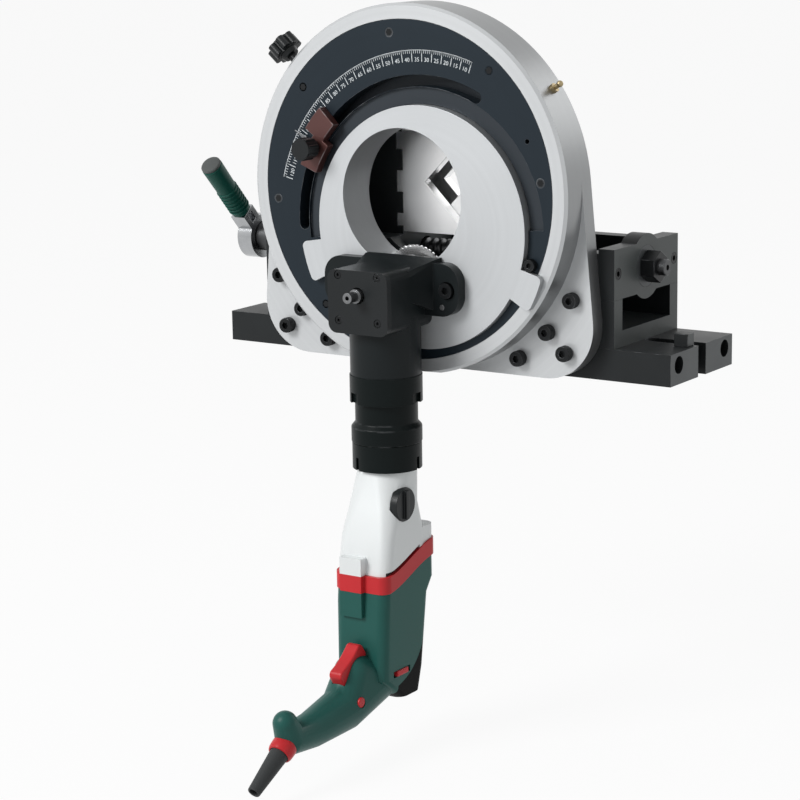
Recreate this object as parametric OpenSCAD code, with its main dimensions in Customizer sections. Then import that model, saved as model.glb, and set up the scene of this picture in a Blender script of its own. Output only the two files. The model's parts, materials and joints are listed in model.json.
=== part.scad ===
// Orbital pipe cutter: a bench vise carries a drum housing, a rotor turns round the pipe in it,
// and an eccentric disc in the rotor feeds the saw blade, its gearbox and the drill motor.
// X runs to the right, Y to the back along the pipe, Z up. The origin lies on the bench face below
// the pipe axis, halfway through the depth of the base.

/* [Bench base] */
// Length of the base plate
base_l = 455; // [440:1:480]
// How far the base plate reaches further to the right than to the left
base_lead = 11; // [0:1:20]
// Depth of the base plate and of the vise
base_d = 115; // [110:1:125]
// Thickness of the base plate
base_h = 27; // [24:1:30]
// Width of the open hold-down slots in the base ends
hold_slot_w = 14; // [12:1:18]
// Length of the open hold-down slots
hold_slot_l = 46; // [36:1:50]
// Diameter of the support rod bores in the base ends
rod_bore_d = 15; // [12:1:16]
// Distance of the support rod bores from the front and back faces of the base
rod_bore_edge = 15; // [13:0.5:18]
// Distance of the support rod bores below the top of the base
rod_bore_drop = 10.5; // [10:0.5:13]
// Depth of the support rod bores
rod_bore_l = 60; // [40:1:80]

/* [Vise] */
// Half length of the vise body
vise_half = 180; // [178:1:190]
// Thickness of the vise walls
vise_wall = 14.5; // [12:0.5:16]
// Thickness of the vise floor
vise_floor = 14; // [12:1:16]
// Height of the vise screw above the bench
screw_z = 90; // [82:1:96]
// Height of the vise walls above the screw axis
vise_rise = 17; // [14:0.5:20]
// Thickness of the two end keepers
keeper_t = 15; // [13:1:17]
// How far the keepers reach below the screw axis
keeper_drop = 22; // [19:0.5:25]
// How far the keepers reach above the screw axis
keeper_rise = 21; // [19:0.5:25]
// Diameter of the vise screw
screw_d = 20; // [18:1:22]
// Wall of the vise screw bushes
screw_bush_t = 8; // [6:0.5:9]
// Wall of a keeper's round hub outside its bush
hub_wall = 10; // [8:0.5:12]
// Length of the jaw slides along the screw
slide_l = 50; // [46:1:52]
// Diameter of the pipe between the jaws as they stand
pipe_d = 28; // [24:1:32]
// Height of the jaw plates
jaw_h = 90; // [84:1:92]
// Thickness of one jaw plate
jaw_t = 10; // [8:0.5:10.5]
// Distance from the pipe axis to the back edge of a jaw plate
jaw_back = 43; // [42:0.5:48]
// Depth of the tabs on the back edge of a jaw plate
jaw_tab = 6; // [4:0.5:7]
// Length of the clamp lever from the screw axis to its end
lever_l = 101; // [96:1:106]
// Angle of the clamp lever above the front
lever_tilt = 47; // [40:1:55]
// Diameter of the lever grip
grip_d = 20; // [18:1:22]

/* [Housing] */
// Wall of the drum round the rotor
rim_w = 13.2; // [12:0.2:15]
// How far the drum is cut off below at the bench
drum_sink = 3.5; // [2:0.5:6]
// Distance from the drum's front rim to the flange
drum_proj = 25.5; // [24:0.5:30]
// Thickness of the foot flange
flange_t = 16; // [15:0.5:18]
// How much wider the foot flange is than the drum
flange_more = 21; // [18:1:26]
// Radius of the flange's lower corners
flange_r = 46; // [40:1:50]
// Thread size of the flange screws
flange_screw_d = 8; // [7:0.5:9]
// Direction of the rotor lock screw round the drum
lock_a = 138.7; // [135:0.5:142]
// Direction of the grease nipple round the drum
nipple_a = 34; // [30:1:40]
// Diameter of the lock knob
knob_d = 29; // [27:0.5:30]

/* [Rotor] */
// Narrowest land of the rotor plate between the disc and its rim
rotor_land = 6; // [5:0.5:8]
// Thickness of the rotor plate
plate_t = 20; // [18:0.5:22]
// Step from the rotor plate down to the rotor neck
neck_step = 4.5; // [4:0.1:5]
// Wall of the rotor bush
rotor_bush_t = 3.7; // [3:0.1:4]
// Step from the rotor plate up to the rear flange of the rotor
rear_step = 4.5; // [3:0.5:6]
// Thickness of the rear flange of the rotor
rear_flange_t = 8; // [7:0.5:9]
// Number of countersunk screws in the rotor plate
plate_screws = 6; // [3:1:6]
// Distance of the plate screws from the rim of the rotor plate
plate_screw_edge = 10.5; // [9:0.5:11]
// Distance from the disc's edge to the arc slot of the size stop
stop_out = 20; // [18:0.5:22]
// Width of the arc slot
stop_slot_w = 10; // [9:0.5:11]
// Direction of the size stop as it stands
stop_a = 149; // [140:1:152]

/* [Eccentric disc] */
// Diameter of the pipe opening
open_d = 120; // [106:1:134]
// Distance of the opening's centre below the pipe axis, with the blade drawn back
open_drop = 6; // [4:0.5:8]
// Offset of the disc's centre to the right of the pipe axis
ecc_x = 18; // [16:0.5:20]
// Offset of the disc's centre below the pipe axis
ecc_z = 30; // [27:0.5:33]
// Thinnest wall of the disc beside the pipe opening
disc_wall = 7; // [6:0.5:9]
// Width of the flange round the disc's drum
disc_lip = 7; // [6:0.5:9]
// How far the disc stands out of the rotor
disc_proj = 6; // [5:0.5:7]
// Depth of the disc's seat in the rotor plate
disc_seat = 4; // [3:0.5:5]
// Reach of the two stop lugs past the disc's edge
lug_out = 20.5; // [18:0.5:22]

/* [Blade and gearbox] */
// Diameter of the saw blade
blade_d = 63; // [60:1:64]
// Thickness of the saw blade
blade_t = 1.6; // [1.2:0.1:2]
// Number of blade teeth
blade_teeth = 44; // [30:2:60]
// How far the blade reaches into the pipe opening
blade_bite = 17.9; // [16:0.1:20]
// Distance from the rotor's front to the blade
blade_y = 15; // [14:0.5:17]
// Diameter of the blade spindle
spindle_d = 12; // [11:0.5:13]
// Width of the gearbox
box_w = 60; // [58:1:62]
// Height of the gearbox
box_h = 54; // [50:1:58]
// Depth of the gearbox without its cover
box_d = 62; // [61:0.5:64]
// Thickness of the gearbox cover
cover_t = 6; // [5:0.5:8]
// Distance of the ear screws from the spindle
ear_x = 57; // [55:0.5:58]
// How far the ears sit to the left of the spindle
ear_shift = 5; // [3:0.5:6]
// Reach of an ear past its screw
ear_end = 11.5; // [10:0.5:14]
// Height of the ears
ear_h = 45; // [40:1:48]
// Thickness of the ears
ear_t = 11; // [10:0.5:13]
// Diameter of the gearbox neck
box_neck_d = 61; // [59:0.5:61.5]
// Length of the gearbox neck below the box
box_neck_l = 39.5; // [39:0.5:44]

/* [Motor] */
// Diameter of the adapter's wide step
adapter_d = 62.5; // [61:0.5:63]
// Diameter of the adapter's waist
waist_d = 54; // [52:0.5:56]
// Diameter of the motor's collar inside the clamp
collar_d = 43; // [42:0.5:44]
// Height of the adapter's wide step
adapter_h = 23.5; // [22:0.5:25]
// Height of the adapter's waist
waist_h = 18; // [16:0.5:20]
// Height of the lock collar
lock_h = 17.5; // [16:0.5:19]
// Height of the clamp ring
clamp_h = 22.5; // [21:0.5:24]
// Width of the motor case
motor_w = 54; // [50:1:58]
// Reach of the motor case ahead of the drive axis
motor_front = 46; // [42:1:50]
// Reach of the motor case behind the drive axis
motor_back = 34; // [31:1:37]
// Length of the motor from the clamp ring to its end cap
motor_l = 206; // [200:1:212]
// Width of the grip
handle_w = 36; // [32:1:38]
// Reach of the grip from the motor axis to the cord entry
handle_reach = 156; // [150:1:162]
// Length of the cord guard
guard_l = 54; // [45:1:60]
// Travel of the trigger
trigger_travel = 5; // [4:0.5:6]

/* [Fits] */
// Radial clearance of a running fit
run = 0.05; // [0.03:0.01:0.08]
// Clearance between pieces that move past each other
gap = 0.3; // [0.25:0.05:0.4]
// Clearance of a screw in its hole
hole_gap = 0.25; // [0.2:0.05:0.4]
// Clearance of a piece that is seated in its bore
seat = 0.02; // [0.01:0.01:0.05]

/* [Hidden] */
$fn = 64;

// Radii of the head, from the pipe opening outwards to the drum
open_r = open_d / 2;
spindle_drop = open_drop + open_r + blade_d / 2 - blade_bite;
pocket_r = blade_d / 2 + 2;
pocket_wall = 2.4;
opening_reach = norm([ecc_x, ecc_z - open_drop]) + open_r + disc_wall;
pocket_reach = norm([ecc_x, spindle_drop - ecc_z]) + pocket_r + pocket_wall;
ear_screw_reach = norm([ear_x + ear_shift + ecc_x, spindle_drop - ecc_z]) + 5;
ecc_r = max(opening_reach, pocket_reach);
disc_r = max(ecc_r + disc_lip, ear_screw_reach);
rotor_r = norm([ecc_x, ecc_z]) + disc_r + rotor_land;
neck_r = rotor_r - neck_step;
rotor_bush_r = neck_r + run + rotor_bush_t;
rear_flange_r = rotor_r + rear_step;
drum_r = rotor_r + gap + rim_w;
axis_h = drum_r - drum_sink;
stop_r = disc_r + stop_out;
lug_r = disc_r + lug_out;

// Planes through the depth of the machine
y_front = -base_d / 2;
y_flange = y_front - flange_t;
y_rim = y_flange - drum_proj;
y_plate_back = y_rim + plate_t;
y_bush = y_plate_back + gap;
rear_room = 3.5;
y_rotor_back = y_front - rear_room;
y_rear_flange = y_rotor_back - rear_flange_t;
bush_l = y_rear_flange - gap - y_bush;
y_disc = y_rim - disc_proj;
y_blade = y_rim + blade_y;

// Ring behind the disc
retainer_t = 4;
y_retainer = y_rotor_back - retainer_t;
retainer_r = ecc_r + 6;

// Thickness of the slices that a lofted shell runs between
thin = 0.5;

// Heights of the gearbox and the motor on the spindle's plane
z_spindle = axis_h - spindle_drop;
box_over = 21;
z_box_top = z_spindle + box_over;
z_box = z_box_top - box_h;
y_box = y_disc - box_d;
neck_room = 2;
y_motor = y_rim - neck_room - adapter_d / 2;
z_neck = z_box - box_neck_l;
z_adapter = z_neck - adapter_h;
z_waist = z_adapter - waist_h;
z_lock = z_waist - lock_h;
z_clamp = z_lock - clamp_h;
z_end = z_clamp - motor_l;

// Fastener and fit sizes
head_k = 1.62;
m4 = 4;
m6 = 6;
m8 = 8;

// Helpers: solids along an axis and flat outlines stood up in the XZ and YZ planes
module rod_y(y, l, r) {
    translate([0, y, 0]) rotate([-90, 0, 0]) cylinder(r = r, h = l);
}
module rod_x(x, l, r) {
    translate([x, 0, 0]) rotate([0, 90, 0]) cylinder(r = r, h = l);
}
module xz(y, l) {
    translate([0, y + l, 0]) rotate([90, 0, 0]) linear_extrude(height = l) children();
}
module yz(x, l) {
    translate([x, 0, 0]) rotate([90, 0, 90]) linear_extrude(height = l) children();
}
module on_axis() {
    translate([0, 0, axis_h]) children();
}
module on_disc() {
    translate([ecc_x, 0, axis_h - ecc_z]) children();
}
module on_opening() {
    translate([0, 0, axis_h - open_drop]) children();
}
module on_spindle() {
    translate([0, 0, z_spindle]) children();
}
module on_motor(z) {
    translate([0, y_motor, z]) children();
}
function polar(r, a) = [r * cos(a), r * sin(a)];

// Ring sector between two angles in the plane of the disc
module sector(r0, r1, a0, a1) {
    far = 1.6 * r1;
    mid = (a0 + a1) / 2;
    intersection() {
        difference() {
            circle(r = r1);
            circle(r = r0);
        }
        polygon([[0, 0], polar(far, a0), polar(far, (a0 + mid) / 2), polar(far, mid),
                 polar(far, (a1 + mid) / 2), polar(far, a1)]);
    }
}
module arc_slot(r, w, a0, a1) {
    sector(r - w / 2, r + w / 2, a0, a1);
    for (a = [a0, a1]) translate(polar(r, a)) circle(d = w);
}
module rounded_rect(w, h, r) {
    square([w - 2 * r, h], center = true);
    square([w, h - 2 * r], center = true);
    for (x = [-1, 1], y = [-1, 1]) translate([x * (w / 2 - r), y * (h / 2 - r)]) circle(r = r);
}
// Socket cap screw along +Y with the under side of its head at y
module cap_screw_y(d, l, y) {
    head_h = d;
    difference() {
        union() {
            rod_y(y - head_h, head_h, d * head_k / 2);
            rod_y(y, l, d / 2);
        }
        translate([0, y - head_h - 1, 0]) rotate([-90, 0, 0])
            cylinder(d = 0.87 * d, h = 1 + 0.5 * d, $fn = 6);
    }
}

/* Vise */

base_x = base_lead / 2;
rod_bore_y = base_d / 2 - rod_bore_edge;
rod_bore_z = base_h - rod_bore_drop;
module base_plate() color("#3a3d40") difference() {
    translate([base_x - base_l / 2, -base_d / 2, 0]) cube([base_l, base_d, base_h]);
    for (s = [-1, 1]) {
        end = base_x + s * base_l / 2;
        slot_x = s > 0 ? end - hold_slot_l : end - 1;
        translate([slot_x, -hold_slot_w / 2, -1]) cube([hold_slot_l + 1, hold_slot_w, base_h + 2]);
        translate([end - s * hold_slot_l, 0, -1]) cylinder(d = hold_slot_w, h = base_h + 2);
        for (t = [-1, 1])
            translate([0, t * rod_bore_y, rod_bore_z])
                rod_x(s > 0 ? end - rod_bore_l : end - 1, rod_bore_l + 1, rod_bore_d / 2);
    }
    flange_holes(flange_screw_d / 2 + seat, flange_screw_l);
    base_screw_places() {
        translate([0, 0, -1]) cylinder(d = m8 + 2 * hole_gap, h = base_h + 2);
        translate([0, 0, -1]) cylinder(d = m8 * head_k + 2 * hole_gap, h = m8 + 3);
    }
}

// Socket screws from below that hold the vise body on the base plate
base_screw_at = [120, 36];
base_screw_sink = 2;
base_screw_grip = 8;
module base_screw_places() {
    for (x = [-1, 1], y = [-1, 1])
        translate([x * base_screw_at[0], y * base_screw_at[1], 0]) children();
}
module base_screws() color("#1c1d1f") base_screw_places() difference() {
    union() {
        translate([0, 0, base_screw_sink]) cylinder(d = m8 * head_k, h = m8);
        translate([0, 0, base_screw_sink + 1])
            cylinder(d = m8, h = base_h + base_screw_grip - base_screw_sink);
    }
    translate([0, 0, base_screw_sink - 1]) cylinder(d = 0.87 * m8, h = 1 + m8 / 2, $fn = 6);
}

// Small stop block on the front rail beside the hold-down slot
stop_block = [13, 12, 11];
module base_stop() color("#303335")
    translate([base_x + base_l / 2 - 4 - stop_block[0], -hold_slot_w / 2 - stop_block[1], base_h])
        cube(stop_block);

slide_w = base_d - 2 * vise_wall - 2 * gap;
pipe_relief = open_r + 5;
vise_top = screw_z + vise_rise;
keeper_z = screw_z - keeper_drop;
keeper_h = keeper_drop + keeper_rise;
bush_d = screw_d + 2 * screw_bush_t;
hub_r = bush_d / 2 + hub_wall;
module vise_body() color("#34373a") difference() {
    union() {
        translate([-vise_half, -base_d / 2, base_h]) cube([2 * vise_half, base_d, keeper_z - base_h]);
        translate([keeper_t - vise_half, -base_d / 2, base_h])
            cube([2 * (vise_half - keeper_t), base_d, vise_top - base_h]);
    }
    translate([-vise_half - 1, -base_d / 2 + vise_wall, base_h + vise_floor])
        cube([2 * vise_half + 2, base_d - 2 * vise_wall, vise_top]);
    on_axis() rod_y(-base_d / 2 - 1, base_d + 2, pipe_relief);
    flange_holes(flange_screw_d / 2 + seat, flange_screw_l);
    base_screw_places() cylinder(d = m8 + 2 * seat, h = base_h + base_screw_grip + 2);
    for (side = [-1, 1], t = [-1, 1]) translate([side * vise_half, t * keeper_hole_y, screw_z])
        rotate([0, -side * 90, 0]) cylinder(d = m6 + 2 * seat, h = keeper_screw_l + 1);
}

// Keeper: end plate across the vise walls with a round hub for the vise screw
keeper_hole_y = base_d / 2 - vise_wall / 2;
keeper_screw_l = 26;
module keeper(side) difference() {
    union() {
        translate([side > 0 ? vise_half - keeper_t : -vise_half, -base_d / 2, keeper_z])
            cube([keeper_t, base_d, keeper_h]);
        translate([0, 0, screw_z]) rod_x(side > 0 ? vise_half - keeper_t : -vise_half, keeper_t, hub_r);
    }
    translate([0, 0, screw_z])
        rod_x(side * (vise_half - keeper_t / 2) - keeper_t, 2 * keeper_t, bush_d / 2 + seat);
    for (t = [-1, 1]) translate([side * vise_half, t * keeper_hole_y, screw_z])
        rotate([0, -side * 90, 0]) {
            translate([0, 0, -1]) cylinder(d = m6 + 2 * hole_gap, h = keeper_t + 2);
            translate([0, 0, -1]) cylinder(d = m6 * head_k + 2 * hole_gap, h = m6 + 1);
        }
}
module keeper_left() color("#34373a") keeper(-1);
module keeper_right() color("#34373a") keeper(1);

// Socket screws sunk into the keepers, each held in the vise wall behind
module keeper_screws() color("#1c1d1f")
    for (side = [-1, 1], t = [-1, 1]) translate([side * vise_half, t * keeper_hole_y, screw_z])
        rotate([0, -side * 90, 0]) difference() {
            union() {
                cylinder(d = m6 * head_k, h = m6);
                cylinder(d = m6, h = keeper_screw_l);
            }
            translate([0, 0, -1]) cylinder(d = 0.87 * m6, h = 1 + m6 / 2, $fn = 6);
        }

module screw_bushes() color("#8a8d8f")
    for (side = [-1, 1]) translate([0, 0, screw_z]) difference() {
        rod_x(side > 0 ? vise_half - keeper_t : -vise_half, keeper_t, bush_d / 2);
        rod_x(side * (vise_half - keeper_t / 2) - keeper_t, 2 * keeper_t, screw_d / 2 + run);
    }

// Vise screw with a plain collar that carries the lever at its left end
lever_t = 16;
lever_room = 3;
lever_x = base_l / 2 - base_x + lever_room;
lever_seat_d = screw_d - 2;
lever_hub_r = lever_seat_d / 2 + 12;
collar_r = screw_d / 2 + 4;
clip_t = 1.6;
screw_end = vise_half + 20;
hex_seat_d = screw_d - 6;
hex_af = hex_seat_d + 10;
module vise_screw() color("#b9bcbe") translate([0, 0, screw_z]) difference() {
    union() {
        rod_x(-lever_x - lever_t - 2 * gap - clip_t - 2, lever_x, lever_seat_d / 2);
        rod_x(-lever_x + gap, lever_x - vise_half - 2 * gap, collar_r);
        rod_x(-vise_half - 2 * gap, 2 * vise_half + 2 * gap, screw_d / 2);
        rod_x(vise_half - 1, screw_end - vise_half + 1, hex_seat_d / 2);
    }
    rod_x(screw_end - 5, 6, 2.5);
}

hex_t = 13;
module drive_hex() color("#26282a") translate([0, 0, screw_z]) difference() {
    translate([vise_half + gap, 0, 0]) rotate([0, 90, 0])
        cylinder(d = hex_af / cos(30), h = hex_t, $fn = 6);
    rod_x(vise_half - 1, hex_t + 4, hex_seat_d / 2 + seat);
}
module lever_clip() color("#8d9092") translate([0, 0, screw_z]) difference() {
    rod_x(-lever_x - lever_t - gap - clip_t, clip_t, lever_seat_d / 2 + 4);
    rod_x(-lever_x - lever_t - gap - clip_t - 1, clip_t + 2, lever_seat_d / 2 + seat);
}

// Ratchet lever of bright steel with a slotted web, in its own plane beyond the base
lever_web_w = 17;
lever_web_l = 35;
grip_l = lever_l - lever_web_l;
web_slot_l = 10;
web_slot_w = 6;
grip_core_d = 9;
module in_lever() {
    translate([-lever_x - lever_t / 2, 0, screw_z]) rotate([-lever_tilt, 0, 0])
        rotate([90, 0, 0]) children();
}
module clamp_lever() color("#c9ccce") difference() {
    union() {
        in_lever() translate([-lever_t / 2, -lever_web_w / 2, 0])
            cube([lever_t, lever_web_w, lever_web_l]);
        translate([0, 0, screw_z]) rod_x(-lever_x - lever_t, lever_t, lever_hub_r);
        in_lever() cylinder(d = grip_core_d, h = lever_l - 8);
    }
    translate([0, 0, screw_z]) rod_x(-lever_x - lever_t - 1, lever_t + 2, lever_seat_d / 2 + run);
    in_lever() translate([-lever_t, -web_slot_w / 2, lever_hub_r + 1])
        cube([2 * lever_t, web_slot_w, web_slot_l]);
}
module lever_grip() color("#16463a") in_lever() difference() {
    translate([0, 0, lever_web_l]) cylinder(d1 = grip_d - 2, d2 = grip_d, h = grip_l - 3);
    translate([0, 0, lever_web_l - 1]) cylinder(d = grip_core_d + 2 * seat, h = grip_l - 6);
}

// Jaws: a slide in the vise channel carries two vee plates by their tabs
vee_apex = pipe_d / 2 * sqrt(2);
jaw_tip = 22;
jaw_y0 = y_front + 20.5;
jaw_pitch = 2 * jaw_t + 11;
slide_top = axis_h + jaw_h / 2 + 5;
slide_post = 40;
tab_bands = [[jaw_h / 2 - 17, jaw_h / 2 - 2], [-10, 9], [5 - jaw_h / 2, 16 - jaw_h / 2]];
nut_l = 30;
nut_d = screw_d + 14;
module jaw_outline() {
    difference() {
        translate([-jaw_back, -jaw_h / 2]) square([jaw_back + jaw_tip, jaw_h]);
        polygon([[-vee_apex, 0], [2 * jaw_h - vee_apex, 2 * jaw_h], [2 * jaw_h - vee_apex, -2 * jaw_h]]);
    }
    for (t = tab_bands) translate([-jaw_back - jaw_tab, t[0]]) square([jaw_tab + 1, t[1] - t[0]]);
}
module jaw_slide(offset_y) difference() {
    union() {
        translate([-jaw_back - slide_l, -slide_w / 2, base_h + vise_floor + gap])
            cube([slide_l, slide_w, vise_top - base_h - vise_floor]);
        translate([-jaw_back - slide_post, jaw_y0, vise_top - 1])
            cube([slide_post, 2 * jaw_pitch - 5, slide_top - vise_top + 1]);
    }
    translate([0, 0, screw_z]) rod_x(-jaw_back - slide_l - 1, slide_l + 2, screw_d / 2 + 1);
    translate([0, 0, screw_z]) rod_x(-jaw_back - slide_l - 1, nut_l + 1, nut_d / 2 + seat);
    for (i = [0, 1], t = tab_bands)
        translate([-jaw_back - jaw_tab, jaw_y0 + i * jaw_pitch + offset_y, axis_h + t[0]])
            cube([jaw_tab + 1, jaw_t, t[1] - t[0]]);
}
module jaw_plates(offset_y) on_axis()
    for (i = [0, 1]) xz(jaw_y0 + i * jaw_pitch + offset_y, jaw_t) jaw_outline();
jaw_shift = jaw_t + gap;
module jaw_slide_left() color("#232527") jaw_slide(0);
module jaw_slide_right() color("#232527") mirror([1, 0, 0]) jaw_slide(jaw_shift);
module jaw_plates_left() color("#cfd2d3") jaw_plates(0);
module jaw_plates_right() color("#cfd2d3") mirror([1, 0, 0]) jaw_plates(jaw_shift);
module slide_nut() translate([0, 0, screw_z]) difference() {
    rod_x(-jaw_back - slide_l, nut_l, nut_d / 2);
    rod_x(-jaw_back - slide_l - 1, nut_l + 2, screw_d / 2 + run);
}
module slide_nut_left() color("#b08d4f") slide_nut();
module slide_nut_right() color("#b08d4f") mirror([1, 0, 0]) slide_nut();

/* Housing */

// Places of the flange screws on one side, across and up from the centre of the foot's corner
flange_w = 2 * drum_r + flange_more;
corner_x = flange_w / 2 - flange_r;
corner_z = flange_r - axis_h;
flange_screw_at = [[27, 23], [3.5, -6], [20.5, -22.5], [-24.5, -30.7]];
flange_screw_l = 30;
module flange_screw_places() {
    on_axis() for (s = [-1, 1], p = flange_screw_at)
        translate([s * (corner_x + p[0]), 0, corner_z + p[1]]) children();
}
module flange_holes(r, l) {
    flange_screw_places() rod_y(y_flange - 1, l + 1, r);
}

// Outline of the foot flange: drum circle and two corner circles joined by their tangents
module flange_outline() {
    lead = atan2(corner_z, corner_x) + acos((drum_r - flange_r) / norm([corner_x, corner_z]));
    top = polar(drum_r, lead);
    low = [corner_x, corner_z] + polar(flange_r, lead);
    circle(r = drum_r, $fn = 128);
    for (s = [-1, 1]) translate([s * corner_x, corner_z]) circle(r = flange_r);
    polygon([top, low, [corner_x, corner_z], [corner_x, -axis_h], [-corner_x, -axis_h],
             [-corner_x, corner_z], [-low[0], low[1]], [-top[0], top[1]]]);
}
rim_chamfer = 2.5;
nipple_d = 8;
module housing() color("#c4c7c9") difference() {
    intersection() {
        on_axis() union() {
            xz(y_flange, flange_t) flange_outline();
            rod_y(y_rim + rim_chamfer, drum_proj, drum_r);
            translate([0, y_rim, 0]) rotate([-90, 0, 0])
                cylinder(r1 = drum_r - rim_chamfer, r2 = drum_r, h = rim_chamfer);
        }
        translate([-flange_w, y_rim - 1, 0]) cube([2 * flange_w, drum_proj + flange_t + 2, 4 * drum_r]);
    }
    on_axis() {
        rod_y(y_rim - 1, plate_t + gap + 1, rotor_r + gap);
        rod_y(y_rim, drum_proj + flange_t, rotor_bush_r + seat);
        rod_y(y_rear_flange - gap, flange_t + drum_proj, rear_flange_r + gap);
        rotate([0, -lock_a, 0]) translate([0, lock_y, 0]) rod_x(rotor_r - 2, 30, lock_d / 2 + run);
        rotate([0, -nipple_a, 0]) translate([0, nipple_y, 0]) rod_x(rotor_bush_r + 2, 30, m6 / 2 + seat);
    }
    flange_holes(flange_screw_d / 2 + hole_gap, flange_t + 2);
}
module housing_screws() color("#18191b")
    flange_screw_places() cap_screw_y(flange_screw_d, flange_screw_l - 1, y_flange);

module rotor_bush() color("#a98b55") on_axis() difference() {
    rod_y(y_bush, bush_l, rotor_bush_r);
    rod_y(y_bush - 1, bush_l + 2, neck_r + run);
}

nipple_y = y_bush + bush_l / 2;
module grease_nipple() color("#b7babc") on_axis()
    rotate([0, -nipple_a, 0]) translate([0, nipple_y, 0]) {
        rod_x(rotor_bush_r + 3, drum_r - rotor_bush_r - 3, m6 / 2);
        rod_x(drum_r, 3, nipple_d / 2);
        rod_x(drum_r + 3, 4, nipple_d / 4);
        translate([drum_r + 8, 0, 0]) sphere(d = nipple_d * 0.7);
    }

// Rotor lock: a star knob on a radial screw that presses on the rim of the rotor plate
lock_d = 8;
lock_y = y_rim + knob_d / 2;
knob_foot = 9;
knob_h = 17;
knob_lobes = 7;
knob_base = drum_r + knob_foot;
module on_lock() {
    on_axis() rotate([0, -lock_a, 0]) translate([0, lock_y, 0]) rotate([0, 90, 0]) children();
}
module lock_knob() color("#1d1f22") on_lock() difference() {
    union() {
        translate([0, 0, knob_base]) cylinder(d1 = 14, d2 = 18, h = 5);
        translate([0, 0, knob_base + 4]) cylinder(d = knob_d * 0.72, h = knob_h - 4);
        for (i = [0 : knob_lobes - 1]) rotate([0, 0, i * 360 / knob_lobes])
            translate([knob_d * 0.36, 0, knob_base + 5]) cylinder(d = knob_d * 0.28, h = knob_h - 6);
    }
    translate([0, 0, knob_base - 1]) cylinder(d = lock_d + 2 * seat, h = knob_h - 4);
}
module lock_stem() color("#a7aaac") on_lock()
    translate([0, 0, rotor_r + 2 * gap]) cylinder(d = lock_d, h = knob_base + knob_h - 6 - rotor_r);

/* Rotor */

crescent_w = 14.5;
crescent_a = [2, 188];
slot_a0 = 64;
slot_a1 = 182;
tee_w = 17;
tee_t = 5;
retract_r = disc_r + 6.3;
retract_a = -12.9;
spare_hole_r = stop_r + 5;
spare_hole_a = 36.8;
plate_screw_r = rotor_r - plate_screw_edge;
plate_screw_a = 5.8;
plate_screw_step = 45;
module plate_screw_places() {
    on_axis() for (i = [0 : plate_screws - 1])
        rotate([0, -plate_screw_a - i * plate_screw_step, 0]) translate([plate_screw_r, 0, 0]) children();
}
csk_h = 2.2;
module csk_screw(extra) {
    translate([0, y_rim, 0]) rotate([-90, 0, 0]) cylinder(r1 = m4 + extra, r2 = m4 / 2 + extra, h = csk_h);
    rod_y(y_rim, plate_t + 8, m4 / 2 + extra);
}
module rotor_plate() color("#2b2e35") difference() {
    on_axis() rod_y(y_rim, plate_t, rotor_r);
    on_disc() {
        rod_y(y_rim - 1, plate_t + 2, ecc_r + run);
        rod_y(y_rim - 1, disc_seat + 1, disc_r + gap);
        xz(y_rim - 1, disc_seat) sector(ecc_r, disc_r + crescent_w, crescent_a[0], crescent_a[1]);
        xz(y_rim - 1, plate_t + 2) arc_slot(stop_r, stop_slot_w, slot_a0, slot_a1);
        xz(y_plate_back - tee_t - gap, tee_t + 2) arc_slot(stop_r, tee_w, slot_a0, slot_a1);
        rotate([0, -retract_a, 0]) translate([retract_r, 0, 0]) rod_y(y_rim - 1, plate_t - 2, m6 / 2 + seat);
        rotate([0, -spare_hole_a, 0]) translate([spare_hole_r, 0, 0]) rod_y(y_rim - 1, plate_t - 2, m4 / 2);
    }
    plate_screw_places() csk_screw(seat);
}
module rotor_body() color("#8f9396") difference() {
    on_axis() union() {
        rod_y(y_plate_back, y_rotor_back - y_plate_back, neck_r);
        rod_y(y_rear_flange, rear_flange_t, rear_flange_r);
    }
    on_disc() {
        rod_y(y_plate_back - 1, y_rotor_back - y_plate_back + 2, ecc_r + run);
        rod_y(y_retainer - gap, retainer_t + 2, retainer_r + gap);
    }
    plate_screw_places() rod_y(y_rim, plate_t + 8, m4 / 2 + seat);
}
module plate_screws_set() color("#3a3c3f") plate_screw_places() csk_screw(0);
module retract_stop() color("#202225") on_disc()
    rotate([0, -retract_a, 0]) translate([retract_r, 0, 0]) cap_screw_y(m6, plate_t - 4, y_rim);

// Size stop: a curved block in front of the arc slot, clamped by a knob on a tee stud
stop_head_a = [-14, -4];
stop_pad_a = [-5, 9];
stop_t = 9;
knob_l = 19;
stop_knob_d = 20;
stop_knob_lobes = 8;
y_stop_knob = y_rim - stop_t - 2 * gap;
stud_in = 14;
module on_stop() {
    on_disc() rotate([0, -stop_a, 0]) translate([stop_r, 0, 0]) children();
}
module size_stop() color("#6a3128") difference() {
    on_disc() xz(y_rim - gap - stop_t, stop_t) {
        sector(stop_r - 5, stop_r + 16, stop_a + stop_head_a[0], stop_a + stop_head_a[1]);
        sector(stop_r - 12, stop_r + 6, stop_a + stop_pad_a[0], stop_a + stop_pad_a[1]);
    }
    on_stop() rod_y(y_rim - 3 * stop_t, 4 * stop_t, m8 / 2 + run);
}
module stop_knob() color("#17181a") on_stop() difference() {
    union() {
        rod_y(y_stop_knob - knob_l, knob_l - 4, stop_knob_d / 2 - 1);
        rod_y(y_stop_knob - 5, 5, stop_knob_d / 2 - 3);
        for (i = [0 : stop_knob_lobes - 1]) rotate([0, i * 360 / stop_knob_lobes, 0])
            translate([stop_knob_d / 2 - 2, 0, 0]) rod_y(y_stop_knob - knob_l + 1, knob_l - 6, 2);
    }
    rod_y(y_stop_knob - stud_in - 1, knob_l, m8 / 2 + run);
}
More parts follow.
